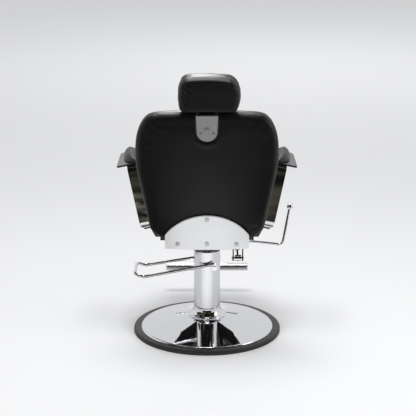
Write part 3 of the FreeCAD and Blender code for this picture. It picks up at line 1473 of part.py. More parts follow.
lever_points = [
    Vector(-size("rail_outside - ear_thick"), size("lever_y"), size("lever_z")),
    Vector(-size("lever_bush_end + lever_stub"), size("lever_y"), size("lever_z")),
    Vector(-size("lever_elbow_x"), size("lever_y"), size("lever_elbow_z")),
    Vector(-size("lever_top_x"), size("lever_y"), size("lever_top_z")),
]
node(made(bent_rod(lever_points, size("lever_bend"), size("lever_radius"))), "recline_lever")

lean = (lever_points[3] - lever_points[2]).normalize()
knob_centre = lever_points[3] + lean * size("knob_reach")
ball = Part.makeSphere(size("knob_radius"), knob_centre)
socket = Part.makeCylinder(
    size("lever_radius"), size("knob_radius") * 2, lever_points[3] - lean * size("knob_radius") * 2,
    lean)
node(made(ball.cut(socket)), "lever_knob")

# Finish: recompute, test every piece, then write the solids

doc.recompute()
for thing in doc.Objects:
    if "Invalid" in thing.State or "Error" in thing.State:
        raise RuntimeError("%s (%s) failed: %s" % (thing.Name, thing.Label, thing.State))
for thing in nodes:
    if thing.Shape.isNull() or not thing.Shape.isValid() or not thing.Shape.Solids:
        raise RuntimeError("%s has no valid solid" % thing.Label)

os.makedirs("parts", exist_ok=True)
for thing in nodes:
    thing.Shape.exportStep("parts/%s.step" % thing.Label)
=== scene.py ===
import json
import math

import bmesh
import bpy
import numpy as np
from bpy.props import FloatProperty, FloatVectorProperty, PointerProperty
from mathutils import Matrix, Vector
from mathutils.bvhtree import BVHTree


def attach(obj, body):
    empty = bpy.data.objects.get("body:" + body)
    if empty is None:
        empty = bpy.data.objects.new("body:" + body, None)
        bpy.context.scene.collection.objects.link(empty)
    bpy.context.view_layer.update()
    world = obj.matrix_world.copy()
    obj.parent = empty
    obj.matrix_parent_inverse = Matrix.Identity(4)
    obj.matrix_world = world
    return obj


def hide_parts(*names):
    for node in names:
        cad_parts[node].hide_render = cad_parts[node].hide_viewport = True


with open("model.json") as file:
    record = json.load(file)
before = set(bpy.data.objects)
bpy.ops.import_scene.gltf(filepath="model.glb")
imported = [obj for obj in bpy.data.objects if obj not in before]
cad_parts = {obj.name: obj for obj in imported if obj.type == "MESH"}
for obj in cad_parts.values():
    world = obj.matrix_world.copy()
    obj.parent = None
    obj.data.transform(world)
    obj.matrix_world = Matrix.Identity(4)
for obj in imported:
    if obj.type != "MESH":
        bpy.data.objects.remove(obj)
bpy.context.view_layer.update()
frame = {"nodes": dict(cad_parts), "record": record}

bl_info = {
    "name": "Hydraulic barber chair",
    "version": (1, 0, 0),
    "blender": (4, 5, 0),
    "location": "3D View > Sidebar > Chair",
    "description": "Upholstery, finishes and studio for a hydraulic barber chair",
    "category": "Object",
}

RAKE = math.radians(12)
LEAN = math.radians(11.6)
BACK_FOOT = Vector((0, 0.215, 0.409))
ARM_FOOT = Vector((0.245, 0, 0.445))

# The back's own frame: x across, y square to its rear face, z up along the slope.
ON_BACK = Matrix.Translation(BACK_FOOT) @ Matrix.Rotation(-RAKE, 4, "X")

# Depths in that frame: faces of the panel and of the cushion, where each is cut off against the
# board between them, and the line of the cord.
PANEL_REAR, PANEL_FRONT, PANEL_JOINT = -0.006, -0.042, -0.0298
CUSHION_REAR, CUSHION_FRONT, CUSHION_JOINT = -0.018, -0.076, -0.0302
CORD_DEPTH = -0.0335
PANEL_ROLL, CUSHION_ROLL = 0.021, 0.026

# Half widths of the back against the height along its slope, from the foot up.
BACK_OUTLINE = (
    (0.134, 0.0204), (0.1465, 0.0205), (0.159, 0.0225), (0.1705, 0.029), (0.187, 0.042),
    (0.2025, 0.0545),
    (0.2165, 0.071), (0.2245, 0.091), (0.2345, 0.144), (0.2415, 0.184), (0.2485, 0.222),
    (0.257, 0.268), (0.264, 0.305),
    (0.270, 0.350), (0.2715, 0.396), (0.269, 0.441), (0.262, 0.478), (0.250, 0.509),
    (0.234, 0.534), (0.211, 0.551), (0.174, 0.558), (0.120, 0.5605), (0.060, 0.5625))

# Their feet: the panel leaves room for the bars behind the steel plate, and the cushion has a
# notch over each hinge.
PANEL_FOOT = (
    (-0.1495, 0.021), (-0.149, 0.082), (-0.07, 0.083), (0, 0.083), (0.07, 0.083),
    (0.149, 0.082), (0.1495, 0.021))
CUSHION_FOOT = (
    (-0.112, 0.022), (-0.108, 0.030), (-0.106, 0.049), (-0.062, 0.049), (-0.060, 0.030),
    (-0.055, 0.022), (0.055, 0.022), (0.060, 0.030), (0.062, 0.049), (0.106, 0.049),
    (0.108, 0.030), (0.112, 0.022))
BOLSTER_FOOT = ((-0.09, 0.0945), (0, 0.0945), (0.09, 0.0945))

# Middle of the lock plate's round end, up the slope of the back, and the recess round it.
LOCK_CENTRE = 0.493
LOCK_HALF = 0.0445
RECESS_TOP = 0.5585

# Foot and top of the headrest's cushion, up the slope of the back.
HEADREST_FOOT, HEADREST_MIDDLE, HEADREST_TOP = 0.5685, 0.6325, 0.7005

# Low and high corner of the seat cushion, and the half sizes and middle of its seams.
SEAT_LOW, SEAT_HIGH = (-0.209, -0.343, 0.4205), (0.209, 0.110, 0.506)
SEAT_RIM = (-0.222, 0.222, -0.357, 0.124, 0.06, 300)
SEAT_PANEL = (-0.150, 0.150, -0.285, 0.065, 0.05, 260)

# Underside and top of an arm pad, over the foot of its strip.
PAD_FOOT, PAD_TOP = 0.2722, 0.2985

# The leaf-shaped outline of an arm pad, from above: outwards and forwards of its strip.
PAD_OUTLINE = (
    (-0.0255, 0.052), (-0.0225, 0.0605), (-0.015, 0.0610), (-0.004, 0.053), (0.0070, 0.041),
    (0.0165, 0.026), (0.0245, 0.007), (0.0300, -0.018), (0.0332, -0.045), (0.0350, -0.080),
    (0.0368, -0.120), (0.0372, -0.150), (0.0355, -0.168), (0.0260, -0.1745), (0.0080, -0.1730),
    (-0.0070, -0.165), (-0.0170, -0.150), (-0.0225, -0.130), (-0.0250, -0.100),
    (-0.0258, -0.050), (-0.0258, 0.010))

# Screw heads on the back: name, place (across, out and up the slope) and scale.
SCREWS = (
    ("plate_button", (0, 0.008, 0.026), 1.0), ("plate_button", (0.113, 0.008, 0.026), 1.0),
    ("plate_button", (-0.113, 0.008, 0.026), 1.0), ("plate_button", (0, 0.008, 0.132), 1.0),
    ("clamp_button", (0, 0, 0.503), 1.0), ("lock_button", (0.024, 0, 0.486), 0.62),
    ("lock_button", (-0.024, 0, 0.486), 0.62))

# The photograph's frame is this many pixels wide, and the camera stands behind the chair.
FRAME_WIDTH = 416
CAMERA_PLACE = (0, 4.8, 1.82)
CAMERA_TILT = math.radians(15.21)

# Cards that only metal and gloss see, which paint the reflections: dark cards paint dark
# reflections, olive cards paint mottled olive reflections in the arm strips, the graded card paints
# shade on the column's sides, and the glowing sheen card paints the highlight on the cushion tops.
# Columns: name, size, place, tilt in degrees and finish.
CARDS = (
    ("dark_floor_card", (11, 6.1), (0, 4.5, 0.004), 0, "dark_room"),
    ("dark_wall_card", (11, 3.3), (0, 7.5, 1.65), 90, "dark_room"),
    ("dark_ceiling_card", (24, 6.9), (0, 4.05, 3.3), 0, "dark_ceiling"),
    ("olive_card_left", (0.42, 0.72), (0.34, 0.60, 0.36), 0, "olive_room"),
    ("dark_card_right", (0.42, 0.62), (-0.34, 0.64, 0.36), 0, "dark_room"),
    ("graded_card", (4.4, 2.4), (0, 0.24, 0.003), 0, "graded_floor"),
    ("olive_card_toe", (0.16, 0.46), (0.345, 0.01, 0.36), 0, "olive_room"),
    ("sheen_card", (0.52, 1.4), (0.14, -2.1, 3.1), 40, "glowing_card"))

# Softboxes: name, place, what it aims at, size, the property with its power, and whether gloss
# mirrors it.
LAMPS = (
    ("overhead_softbox", (0.1, 0.25, 3.1), (0, 0, 0.6), (1.1, 0.8), "key", True),
    ("side_softbox", (-2.9, 0.8, 1.7), (0, 0.1, 0.6), (1.2, 1.8), "side", True),
    ("front_softbox", (-0.3, 3.4, 2.8), (-0.1, 1.4, 0), (2.2, 1), "front", False),
    ("background_softbox", (-0.9, -7, 4), (-0.9, -7.1, 0), (4, 3), "backdrop", False))

# Creases of the headrest's rear face: start, end (across and up the slope) and depth.
CREASES = (
    ((0.088, 0.676), (0.066, 0.652), 0.0016), ((0.084, 0.668), (0.045, 0.640), 0.0010),
    ((0.090, 0.662), (0.072, 0.630), 0.0012), ((-0.082, 0.680), (-0.098, 0.664), 0.0020),
    ((-0.090, 0.684), (-0.078, 0.668), 0.0016), ((-0.101, 0.645), (-0.088, 0.628), 0.0014),
    ((-0.098, 0.622), (-0.080, 0.612), 0.0010))


class ChairColours(bpy.types.PropertyGroup):
    vinyl: FloatVectorProperty(
        name="Vinyl", description="Black vinyl of the upholstery", subtype="COLOR", size=4,
        default=(0.0050, 0.0050, 0.0055, 1), min=0, max=1)
    chrome: FloatVectorProperty(
        name="Chrome", description="Tint of the chrome plate", subtype="COLOR", size=4,
        default=(0.86, 0.865, 0.885, 1), min=0, max=1)
    plate: FloatVectorProperty(
        name="Rear plate", description="Satin silver of the rear plate", subtype="COLOR", size=4,
        default=(0.91, 0.915, 0.92, 1), min=0, max=1)
    casting: FloatVectorProperty(
        name="Lock plate", description="Grey lacquer of the headrest lock plate",
        subtype="COLOR", size=4, default=(0.33, 0.33, 0.333, 1), min=0, max=1)
    rubber: FloatVectorProperty(
        name="Rubber", description="Ring round the base", subtype="COLOR", size=4,
        default=(0.016, 0.016, 0.0175, 1), min=0, max=1)
    floor: FloatVectorProperty(
        name="Floor", description="Studio floor", subtype="COLOR", size=4,
        default=(0.86, 0.863, 0.868, 1), min=0, max=1)


class ChairSizes(bpy.types.PropertyGroup):
    swell: FloatProperty(
        name="Swell", description="Most that a cushion may swell from its first shape",
        unit="LENGTH", default=0.011, min=0, max=0.03)
    seam_depth: FloatProperty(
        name="Seam depth", description="How far the seams pull in", unit="LENGTH",
        default=0.0045, min=0, max=0.01)
    welt: FloatProperty(
        name="Welt", description="Radius of the corded edge of the cushions", unit="LENGTH",
        default=0.0028, min=0.001, max=0.006)
    pleat: FloatProperty(
        name="Pleats", description="Depth of the gathers at the ends of the headrest",
        unit="LENGTH", default=0.0026, min=0, max=0.006)
    recess: FloatProperty(
        name="Recess", description="Depth of the recess round the lock plate",
        unit="LENGTH", default=0.0075, min=0, max=0.015)


class ChairStudio(bpy.types.PropertyGroup):
    sky: FloatProperty(
        name="Sky", description="Strength of the light from all round", default=0.72, min=0)
    key: FloatProperty(
        name="Overhead", description="Power of the overhead softbox", unit="POWER",
        default=34, min=0)
    side: FloatProperty(
        name="Side", description="Power of the softbox at the sitter's right", unit="POWER",
        default=12, min=0)
    front: FloatProperty(
        name="Front", description="Power of the softbox over the camera", unit="POWER",
        default=14, min=0)
    backdrop: FloatProperty(
        name="Backdrop", description="Power of the light on the far floor", unit="POWER",
        default=56, min=0)
    sheen: FloatProperty(
        name="Sheen", description="Brightness of the card mirrored by the tops of the cushions",
        default=23, min=0)
    lens: FloatProperty(
        name="Lens", description="Focal length of the camera", unit="CAMERA", default=107.05,
        min=20)


# Finishes

class Wire:
    """A socket, or a number, that takes part in shader maths."""

    def __init__(self, finish, socket):
        self.finish = finish
        self.socket = socket

    def maths(self, operation, *others):
        made = self.finish.node("Math", {"operation": operation}, **{
            "in%d" % index: value for index, value in enumerate((self, *others))})
        return made.out(0)

    def __add__(self, other):
        return self.maths("ADD", other)

    def __sub__(self, other):
        return self.maths("SUBTRACT", other)

    def __mul__(self, other):
        return self.maths("MULTIPLY", other)

    def __truediv__(self, other):
        return self.maths("DIVIDE", other)

    def __rsub__(self, other):
        return (self * -1) + other

    __radd__ = __add__
    __rmul__ = __mul__

    def __abs__(self):
        return self.maths("ABSOLUTE")

    def most(self, other):
        return self.maths("MAXIMUM", other)

    def fraction(self):
        return self.maths("FRACT")

    def step(self, low, high):
        """0 up to low, 1 from high on, and a smooth ramp between."""
        ramp = self.finish.node(
            "MapRange", {"interpolation_type": "SMOOTHSTEP", "clamp": True},
            Value=self, From_Min=low, From_Max=high, To_Min=0.0, To_Max=1.0)
        return ramp.out(0)


class Made:
    """A node that the maths can take outputs from."""

    def __init__(self, finish, node):
        self.finish = finish
        self.node = node

    def out(self, name):
        return Wire(self.finish, self.node.outputs[name])


class Finish:
    """One material, built from its nodes."""

    def __init__(self, name):
        self.material = bpy.data.materials.new(name)
        self.material.use_nodes = True
        self.tree = self.material.node_tree
        self.tree.nodes.clear()

    def node(self, kind, settings=None, **sockets):
        """A node of this kind: its settings first, then values or links for its sockets."""
        made = self.tree.nodes.new("ShaderNode" + kind)
        for name, value in (settings or {}).items():
            if name == "stops":
                ramp = made.color_ramp
                for element, (place, colour) in zip(ramp.elements, value):
                    element.position = place
                    element.color = colour
            else:
                setattr(made, name, value)
        for name, value in sockets.items():
            socket = made.inputs[int(name[2:])] if name[:2] == "in" else \
                made.inputs[name.replace("_", " ")]
            if isinstance(value, Wire):
                self.tree.links.new(value.socket, socket)
            else:
                socket.default_value = value
        return Made(self, made)

    def place(self):
        return self.node("TexCoord").out("Object")

    def noise(self, scale, detail=2.0, stretch=(1, 1, 1)):
        where = self.node("Mapping", None, Vector=self.place(), Scale=stretch).out("Vector")
        made = self.node("TexNoise", None, Vector=where, Scale=scale, Detail=detail,
                         Roughness=0.55)
        return made.out("Fac")

    def cells(self, scale):
        made = self.node("TexVoronoi", {"feature": "F1"}, Vector=self.place(), Scale=scale)
        return made.out("Distance")

    def blend(self, share, first, second):
        """A colour between two, by a share that varies over the surface."""
        made = self.node("Mix", {"data_type": "RGBA"}, in0=share, in6=first, in7=second)
        return Wire(self, made.node.outputs[2])

    def bump(self, height, depth, strength=1.0, edge=0.0):
        sockets = {"Height": height, "Distance": depth, "Strength": strength}
        if edge:
            rounded = self.node("Bevel", {"samples": 4}, Radius=edge)
            sockets["Normal"] = rounded.out("Normal")
        return self.node("Bump", None, **sockets).out("Normal")

    def coat(self, **sockets):
        """Closes the material with one surface shader."""
        surface = self.node("BsdfPrincipled", None, **sockets)
        self.node("OutputMaterial", None, Surface=surface.out("BSDF"))
        return self.material


def shaded(colour, share):
    """A colour made darker or lighter by a factor."""
    return tuple(part * share for part in colour[:3]) + (1,)


def vinyl_finish(colour, seamed):
    """Satin vinyl with a fine leather grain. Seamed pieces also get stitched seams."""
    made = Finish("black_vinyl_seamed" if seamed else "black_vinyl")
    grain = made.cells(620).step(0.0, 0.62)
    coarse = made.noise(150, 3)
    patches = made.noise(7, 2)
    height = grain * 0.55 + coarse * 0.45
    tone = made.noise(3.2, 2).step(0.3, 0.7)
    base = made.blend(tone, shaded(colour, 0.86), shaded(colour, 1.16))
    rough = patches * 0.10 + grain * 0.05 + 0.33
    if seamed:
        across = made.node("Attribute", {"attribute_name": "seam"}).out("Fac")
        along = made.node("Attribute", {"attribute_name": "along"}).out("Fac")
        valley = 1 - abs(across).step(0.0, 0.0016)
        row = 1 - abs(abs(across) - 0.0055).step(0.0004, 0.0010)
        dash = (along * 170).fraction().step(0.22, 0.30)
        thread = row * dash
        height = height * 0.16 + thread * 0.9 - valley * 1.6
        base = made.blend(thread * 0.75, base, shaded(colour, 2.6))
        rough = rough + thread * 0.2
        normal = made.bump(height, 0.0007, 0.7)
    else:
        normal = made.bump(height, 0.00012, 0.55)
    return made.coat(Base_Color=base, Roughness=rough, Normal=normal, Specular_IOR_Level=0.38)


def chrome_finish(colour):
    """Chrome plate with faint wipe marks, its edges rounded in the shading."""
    made = Finish("chrome")
    wipes = made.noise(9, 4)
    fine = made.noise(900, 1, (1, 1, 0.05))
    tint = made.blend(wipes.step(0.35, 0.75), shaded(colour, 0.985), colour)
    rough = wipes.step(0.4, 0.9) * 0.025 + fine * 0.012 + 0.028
    return made.coat(Base_Color=tint, Metallic=1.0, Roughness=rough,
                     Normal=made.bump(made.noise(22, 1), 0.0002, 0.10, 0.0007))


def satin_finish(name, colour, rough, stretch, brush=700, metallic=1.0):
    """Brushed or satin metal: fine lines along one direction and faint stains."""
    made = Finish(name)
    lines = made.noise(brush, 2, stretch)
    stains = made.noise(6, 3)
    base = made.blend(lines * 0.5 + stains.step(0.3, 0.8) * 0.5, shaded(colour, 0.94),
                      shaded(colour, 1.03))
    return made.coat(
        Base_Color=base, Metallic=metallic, Roughness=lines * 0.10 + stains * 0.06 + rough,
        Normal=made.bump(lines, 0.00005, 0.5, 0.0008))


def cast_finish(name, colour, rough, metallic, depth=0.0003):
    """Lacquered or bare castings: a pebbled skin, lighter and smoother where hands wear it."""
    made = Finish(name)
    skin = made.noise(420, 4)
    worn = made.noise(14, 3).step(0.5, 0.75)
    base = made.blend(worn * 0.6, colour, shaded(colour, 1.35))
    return made.coat(Base_Color=base, Metallic=metallic,
                     Roughness=skin * 0.12 + worn * -0.06 + rough,
                     Normal=made.bump(skin, depth, 0.6, 0.0008))


def rubber_finish(colour):
    """Dusty moulded rubber."""
    made = Finish("rubber")
    dust = made.noise(30, 4).step(0.45, 0.8)
    skin = made.noise(700, 2)
    base = made.blend(dust * 0.35, colour, shaded(colour, 2.2))
    return made.coat(Base_Color=base, Roughness=dust * 0.14 + 0.40, Specular_IOR_Level=0.4,
                     Normal=made.bump(skin, 0.0001, 0.6, 0.0012))


def plywood_finish():
    """Plywood stained black, with its grain showing as a faint relief."""
    made = Finish("plywood")
    grain = made.noise(38, 5, (1, 0.08, 1))
    pores = made.noise(900, 2, (1, 0.04, 1))
    base = made.blend(grain.step(0.3, 0.7), (0.003, 0.003, 0.003, 1), (0.007, 0.006, 0.005, 1))
    return made.coat(Base_Color=base, Roughness=pores * 0.15 + 0.60, Specular_IOR_Level=0.05,
                     Normal=made.bump(pores, 0.0002, 0.5, 0.0005))


def floor_finish(colour):
    """A matt studio floor, faintly clouded."""
    made = Finish("studio_floor")
    cloud = made.noise(0.35, 2)
    base = made.blend(cloud.step(0.3, 0.7), shaded(colour, 0.992), colour)
    return made.coat(Base_Color=base, Roughness=0.62, Specular_IOR_Level=0.12)


def card_finish(name, first, second, scale=1.7):
    """A matt card, mottled between two colours, for the metal to mirror."""
    made = Finish(name)
    base = made.blend(made.noise(scale, 3).step(0.35, 0.65), first, second)
    return made.coat(Base_Color=base, Roughness=0.9, Specular_IOR_Level=0.0)


def graded_finish(name, middle, edge):
    """A matt card that darkens to both sides, which gives the column its soft shading."""
    made = Finish(name)
    axes = made.node("SeparateXYZ", None, Vector=made.place())
    spread = abs(axes.out("X")) / axes.out("Y").most(0.05)
    base = made.blend(spread.step(0.0, 1.7), middle, edge)
    return made.coat(Base_Color=base, Roughness=0.9, Specular_IOR_Level=0.0)


def glowing_finish(strength):
    """A card that gives light, for the sheen on the tops of the cushions."""
    made = Finish("glowing_card")
    return made.coat(Base_Color=(0, 0, 0, 1), Emission_Color=(1, 1, 1, 1),
                     Emission_Strength=strength, Specular_IOR_Level=0.0)


FINISHES = {}


def finish(name):
    return FINISHES[name]


def make_finishes(colours):
    """Every finish of the chair, under the name of its material slot."""
    chrome = tuple(colours.chrome)
    FINISHES.update({
        "black_vinyl": vinyl_finish(tuple(colours.vinyl), False),
        "black_vinyl_seamed": vinyl_finish(tuple(colours.vinyl), True),
        "chrome": chrome_finish(chrome),
        "satin_steel": satin_finish("satin_steel", tuple(colours.plate), 0.34, (0.04, 1, 1),
                                    metallic=0.25),
        "satin_aluminium": satin_finish(
            "satin_aluminium", (0.185, 0.185, 0.197, 1), 0.30, (1, 0.03, 1)),
        "cast_grey": cast_finish("cast_grey", tuple(colours.casting), 0.42, 0.35),
        "cast_iron": cast_finish("cast_iron", (0.035, 0.035, 0.037, 1), 0.5, 0.6, 0.0006),
        "black_steel": cast_finish("black_steel", (0.018, 0.018, 0.019, 1), 0.42, 0.0, 0.0001),
        "zinc_steel": satin_finish("zinc_steel", (0.62, 0.63, 0.66, 1), 0.22, (1, 1, 1), 300),
        "bronze": satin_finish("bronze", (0.30, 0.21, 0.11, 1), 0.30, (1, 1, 0.05)),
        "rubber": rubber_finish(tuple(colours.rubber)),
        "plywood": plywood_finish(),
    })


# Modelling

def alone(thing):
    """Only this object is selected and active."""
    bpy.ops.object.select_all(action="DESELECT")
    thing.select_set(True)
    bpy.context.view_layer.objects.active = thing


def named(name):
    """Names what an operator has just added."""
    thing = bpy.context.active_object
    thing.name = name
    thing.data.name = name
    return thing


def points_of(thing):
    flat = np.empty(len(thing.data.vertices) * 3)
    thing.data.vertices.foreach_get("co", flat)
    return flat.reshape(-1, 3)


def put_points(thing, points):
    thing.data.vertices.foreach_set("co", np.ascontiguousarray(points).ravel())
    thing.data.update()


def normals_of(thing):
    flat = np.empty(len(thing.data.vertices) * 3)
    thing.data.vertices.foreach_get("normal", flat)
    return flat.reshape(-1, 3)


def apply_all(thing):
    alone(thing)
    for modifier in list(thing.modifiers):
        bpy.ops.object.modifier_apply(modifier=modifier.name)


def smooth(thing, angle=None):
    alone(thing)
    if angle is None:
        bpy.ops.object.shade_smooth()
    else:
        bpy.ops.object.shade_smooth_by_angle(angle=math.radians(angle))


def dress(thing, name):
    thing.data.materials.clear()
    thing.data.materials.append(finish(name))


def cushion_block(name, low, high):
    """A box between two corners, added at its size and place."""
    low, high = Vector(low), Vector(high)
    bpy.ops.object.select_all(action="DESELECT")
    bpy.ops.mesh.primitive_cube_add(size=1, location=(low + high) / 2, scale=high - low)
    thing = named(name)
    bpy.ops.object.transform_apply(location=True, rotation=True, scale=True)
    return thing


def round_edges(thing, wanted, radius, segments):
    """Bevels the edges that a test of their direction and middle picks out."""
    alone(thing)
    bpy.ops.object.mode_set(mode="EDIT")
    bpy.ops.mesh.select_mode(type="EDGE")
    bpy.ops.mesh.select_all(action="DESELECT")
    shape = bmesh.from_edit_mesh(thing.data)
    for edge in shape.edges:
        first, second = edge.verts[0].co, edge.verts[1].co
        edge.select = bool(wanted((second - first).normalized(), (first + second) / 2))
    bmesh.update_edit_mesh(thing.data)
    bpy.ops.mesh.bevel(offset=radius, segments=segments, affect="EDGES", profile=0.5,
                       clamp_overlap=True)
    bpy.ops.object.mode_set(mode="OBJECT")


def closed_curve(corners, count):
    """Evenly spaced points on a smooth closed line through the corners."""
    corners = np.array(corners, float)
    before, after = np.roll(corners, 1, 0), np.roll(corners, -1, 0)
    later = np.roll(corners, -2, 0)
    share = np.linspace(0, 1, 24, endpoint=False)[None, :, None]
    a, b, c, d = (part[:, None, :] for part in (before, corners, after, later))
    line = 0.5 * (2 * b + (c - a) * share + (2 * a - 5 * b + 4 * c - d) * share ** 2
                  + (3 * b - a - 3 * c + d) * share ** 3)
    return resampled(line.reshape(-1, corners.shape[1]), count)


def resampled(line, count):
    around = np.vstack([line, line[:1]])
    run = np.concatenate([[0], np.cumsum(np.linalg.norm(np.diff(around, axis=0), axis=1))])
    want = np.linspace(0, run[-1], count, endpoint=False)
    return np.stack([np.interp(want, run, around[:, axis]) for axis in range(line.shape[1])], 1)


def back_line(inset, foot):
    """The outline of the back, drawn in by an inset, over a foot line of its own."""
    right = []
    for half, high in BACK_OUTLINE:
        crown = max(0.0, (high - 0.50) / 0.063)
        right.append((half - inset * (1 - crown * 0.5), high - inset * crown))
    right = [(half, max(high, 0.0)) for half, high in right]
    left = [(-half, high) for half, high in reversed(right)]
    crown_line = closed_curve(right + [(0, 0.5632 - inset)] + left, 260)
    upper = [point for point in crown_line if point[1] > 0.024 + inset or abs(point[0]) > 0.15]
    start = min(range(len(upper)), key=lambda k: (upper[k][0] < 0, upper[k][1]))
    upper = upper[start:] + upper[:start]
    if upper[1][1] < upper[-1][1] and upper[1][0] < upper[0][0]:
        upper = upper[::-1]
    return resampled(np.array([tuple(point) for point in upper] + list(foot)), 300)


def slab(name, outline, rear, front):
    """A flat disc on an outline in x and z, extruded from one depth to another."""
    bpy.ops.object.select_all(action="DESELECT")
    bpy.ops.mesh.primitive_circle_add(vertices=len(outline), radius=1, fill_type="NGON")
    thing = named(name)
    put_points(thing, np.array([(x, rear, z) for x, z in outline]))
    alone(thing)
    bpy.ops.object.mode_set(mode="EDIT")
    bpy.ops.mesh.select_all(action="SELECT")
    bpy.ops.mesh.extrude_region_move(TRANSFORM_OT_translate={"value": (0, front - rear, 0)})
    bpy.ops.mesh.select_all(action="SELECT")
    bpy.ops.mesh.normals_make_consistent(inside=False)
    bpy.ops.object.mode_set(mode="OBJECT")
    return thing


def rolled(thing, line, face, radius, side):
    """Rolls a flat face over along an outline; side 1 is the rear face, -1 the front."""
    points = points_of(thing)
    line = resampled(line, 1500)
    line = line[(np.abs(line[:, 0]) > 0.151) | (line[:, 1] > 0.1)]
    away = np.array([np.hypot(*(line - point).T).min() for point in points[:, [0, 2]]])
    drop = radius * (1 - np.sqrt(1 - (1 - np.clip(away / radius, 0, 1)) ** 2))
    points[:, 1] = side * np.minimum(side * points[:, 1], side * face - drop)
    put_points(thing, points)


def cut_off(thing, depth, side):
    """Trims a piece flat at a depth and closes it; side 1 keeps what lies behind the cut."""
    alone(thing)
    bpy.ops.object.mode_set(mode="EDIT")
    bpy.ops.mesh.select_all(action="SELECT")
    bpy.ops.mesh.bisect(plane_co=(0, depth, 0), plane_no=(0, side, 0), use_fill=True,
                        clear_inner=True)
    bpy.ops.object.mode_set(mode="OBJECT")


def remeshed(thing, voxel):
    """An even grid over the whole skin, fine enough for cloth."""
    alone(thing)
    made = thing.modifiers.new("Remesh", "REMESH")
    made.mode = "VOXEL"
    made.voxel_size = voxel
    bpy.ops.object.modifier_apply(modifier=made.name)
    return thing


def relaxed(thing, rounds, share=0.5):
    """Softens what the grid left stepped."""
    alone(thing)
    made = thing.modifiers.new("Smooth", "SMOOTH")
    made.factor = share
    made.iterations = rounds
    bpy.ops.object.modifier_apply(modifier=made.name)


def swollen(thing, held, cap, pressure=4.0):
    """Blows the cushion up like cloth, with some points held and a limit on every move."""
    first = points_of(thing)
    group = thing.vertex_groups.new(name="held")
    group.add([int(index) for index in np.nonzero(held(first))[0]], 1.0, "REPLACE")
    cloth = thing.modifiers.new("Cloth", "CLOTH")
    cloth.settings.vertex_group_mass = "held"
    cloth.settings.use_pressure = True
    cloth.settings.uniform_pressure_force = pressure
    cloth.settings.effector_weights.gravity = 0
    cloth.settings.quality = 4
    cloth.settings.tension_stiffness = 20
    cloth.settings.compression_stiffness = 20
    cloth.settings.bending_stiffness = 2
    cloth.collision_settings.use_collision = False
    frames = 20
    cloth.point_cache.frame_start = 1
    cloth.point_cache.frame_end = frames
    scene = bpy.context.scene
    for frame_now in range(1, frames + 1):
        scene.frame_set(frame_now)
    seen = thing.evaluated_get(bpy.context.evaluated_depsgraph_get())
    flat = np.empty(len(first) * 3)
    seen.data.vertices.foreach_get("co", flat)
    moves = flat.reshape(-1, 3) - first
    length = np.linalg.norm(moves, axis=1, keepdims=True)
    limited = cap * np.tanh(length / cap)
    thing.modifiers.remove(cloth)
    thing.vertex_groups.remove(group)
    put_points(thing, first + moves * limited / np.maximum(length, 1e-9))
    scene.frame_set(1)


def refined(thing):
    """One subdivision, applied."""
    alone(thing)
    made = thing.modifiers.new("Subdivision", "SUBSURF")
    made.levels = made.render_levels = 1
    bpy.ops.object.modifier_apply(modifier=made.name)


def seam_lines(thing, lines, depth, width=0.006):
    """Pulls the surface in along seams and keeps how far each point lies from them."""
    far = 0.05
    points = points_of(thing)
    best = np.full(len(points), far)
    along = np.zeros(len(points))
    for line in lines:
        step = np.linalg.norm(line[1] - line[0])
        for start in range(0, len(points), 4000):
            part = points[start:start + 4000]
            away = np.linalg.norm(part[:, None, :] - line[None, :, :], axis=2)
            nearest = away.argmin(1)
            near = away[np.arange(len(part)), nearest]
            closer = near < best[start:start + 4000]
            best[start:start + 4000][closer] = near[closer]
            along[start:start + 4000][closer] = nearest[closer] * step
    pull = depth * np.exp(-(best / width) ** 2)
    put_points(thing, points - normals_of(thing) * pull[:, None])
    for name, values in (("seam", best), ("along", along)):
        made = thing.data.attributes.new(name, "FLOAT", "POINT")
        made.data.foreach_set("value", values)


def laid_on(thing, path, out=0.0):
    """A path moved on to the surface of a piece, evenly spaced."""
    bpy.context.view_layer.update()
    tree = BVHTree.FromObject(thing, bpy.context.evaluated_depsgraph_get())
    spots = []
    for point in path:
        spot, normal, _, _ = tree.find_nearest(Vector(point))
        spots.append(spot + normal * out)
    return resampled(np.array(spots), max(60, len(path)))


def corded(name, path, radius, closed=True):
    """A cord along a path, turned into a mesh."""
    line = bpy.data.curves.new(name, "CURVE")
    line.dimensions = "3D"
    line.bevel_depth = radius
    line.bevel_resolution = 3
    spline = line.splines.new("POLY")
    spline.points.add(len(path) - 1)
    spline.points.foreach_set("co", np.hstack([path, np.ones((len(path), 1))]).ravel())
    spline.use_cyclic_u = closed
    thing = bpy.data.objects.new(name, line)
    bpy.context.scene.collection.objects.link(thing)
    alone(thing)
    bpy.ops.object.convert(target="MESH")
    return bpy.context.active_object


def copied(thing, name):
    """A second object with a mesh of its own."""
    made = thing.copy()
    made.data = thing.data.copy()
    made.name = made.data.name = name
    bpy.context.scene.collection.objects.link(made)
    return made


def placed(thing, where):
    thing.data.transform(where)
    thing.data.update()
    return thing


def settle(thing, body, material, angle=None):
    """Finish, smoothing, body and slot of a new piece."""
    smooth(thing, angle)
    dress(thing, material)
    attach(thing, body)
    return thing


def rounded_path(left, right, low, high, radius, count=220):
    """A rectangle with round corners, as points in two axes."""
    corners = []
    for x, y, start in ((right, high, 0), (left, high, 90), (left, low, 180), (right, low, 270)):
        centre_x = x - radius if x == right else x + radius
        centre_y = y - radius if y == high else y + radius
        for turn in range(0, 91, 6):
            angle = math.radians(start + turn)
            corners.append((centre_x + radius * math.cos(angle),
                            centre_y + radius * math.sin(angle)))
    return resampled(np.array(corners), count)


def soft_noise(points, scale, seed):
    """Slow waves over a surface, the same in every run."""
    waves = np.random.default_rng(seed)
    total = np.zeros(len(points))
    for _ in range(7):
        direction = waves.normal(size=3)
        direction /= np.linalg.norm(direction)
        total += np.sin(points @ direction * (2 * math.pi / scale) * waves.uniform(0.6, 1.5)
                        + waves.uniform(0, 6.28))
    return total / 7


# Pieces

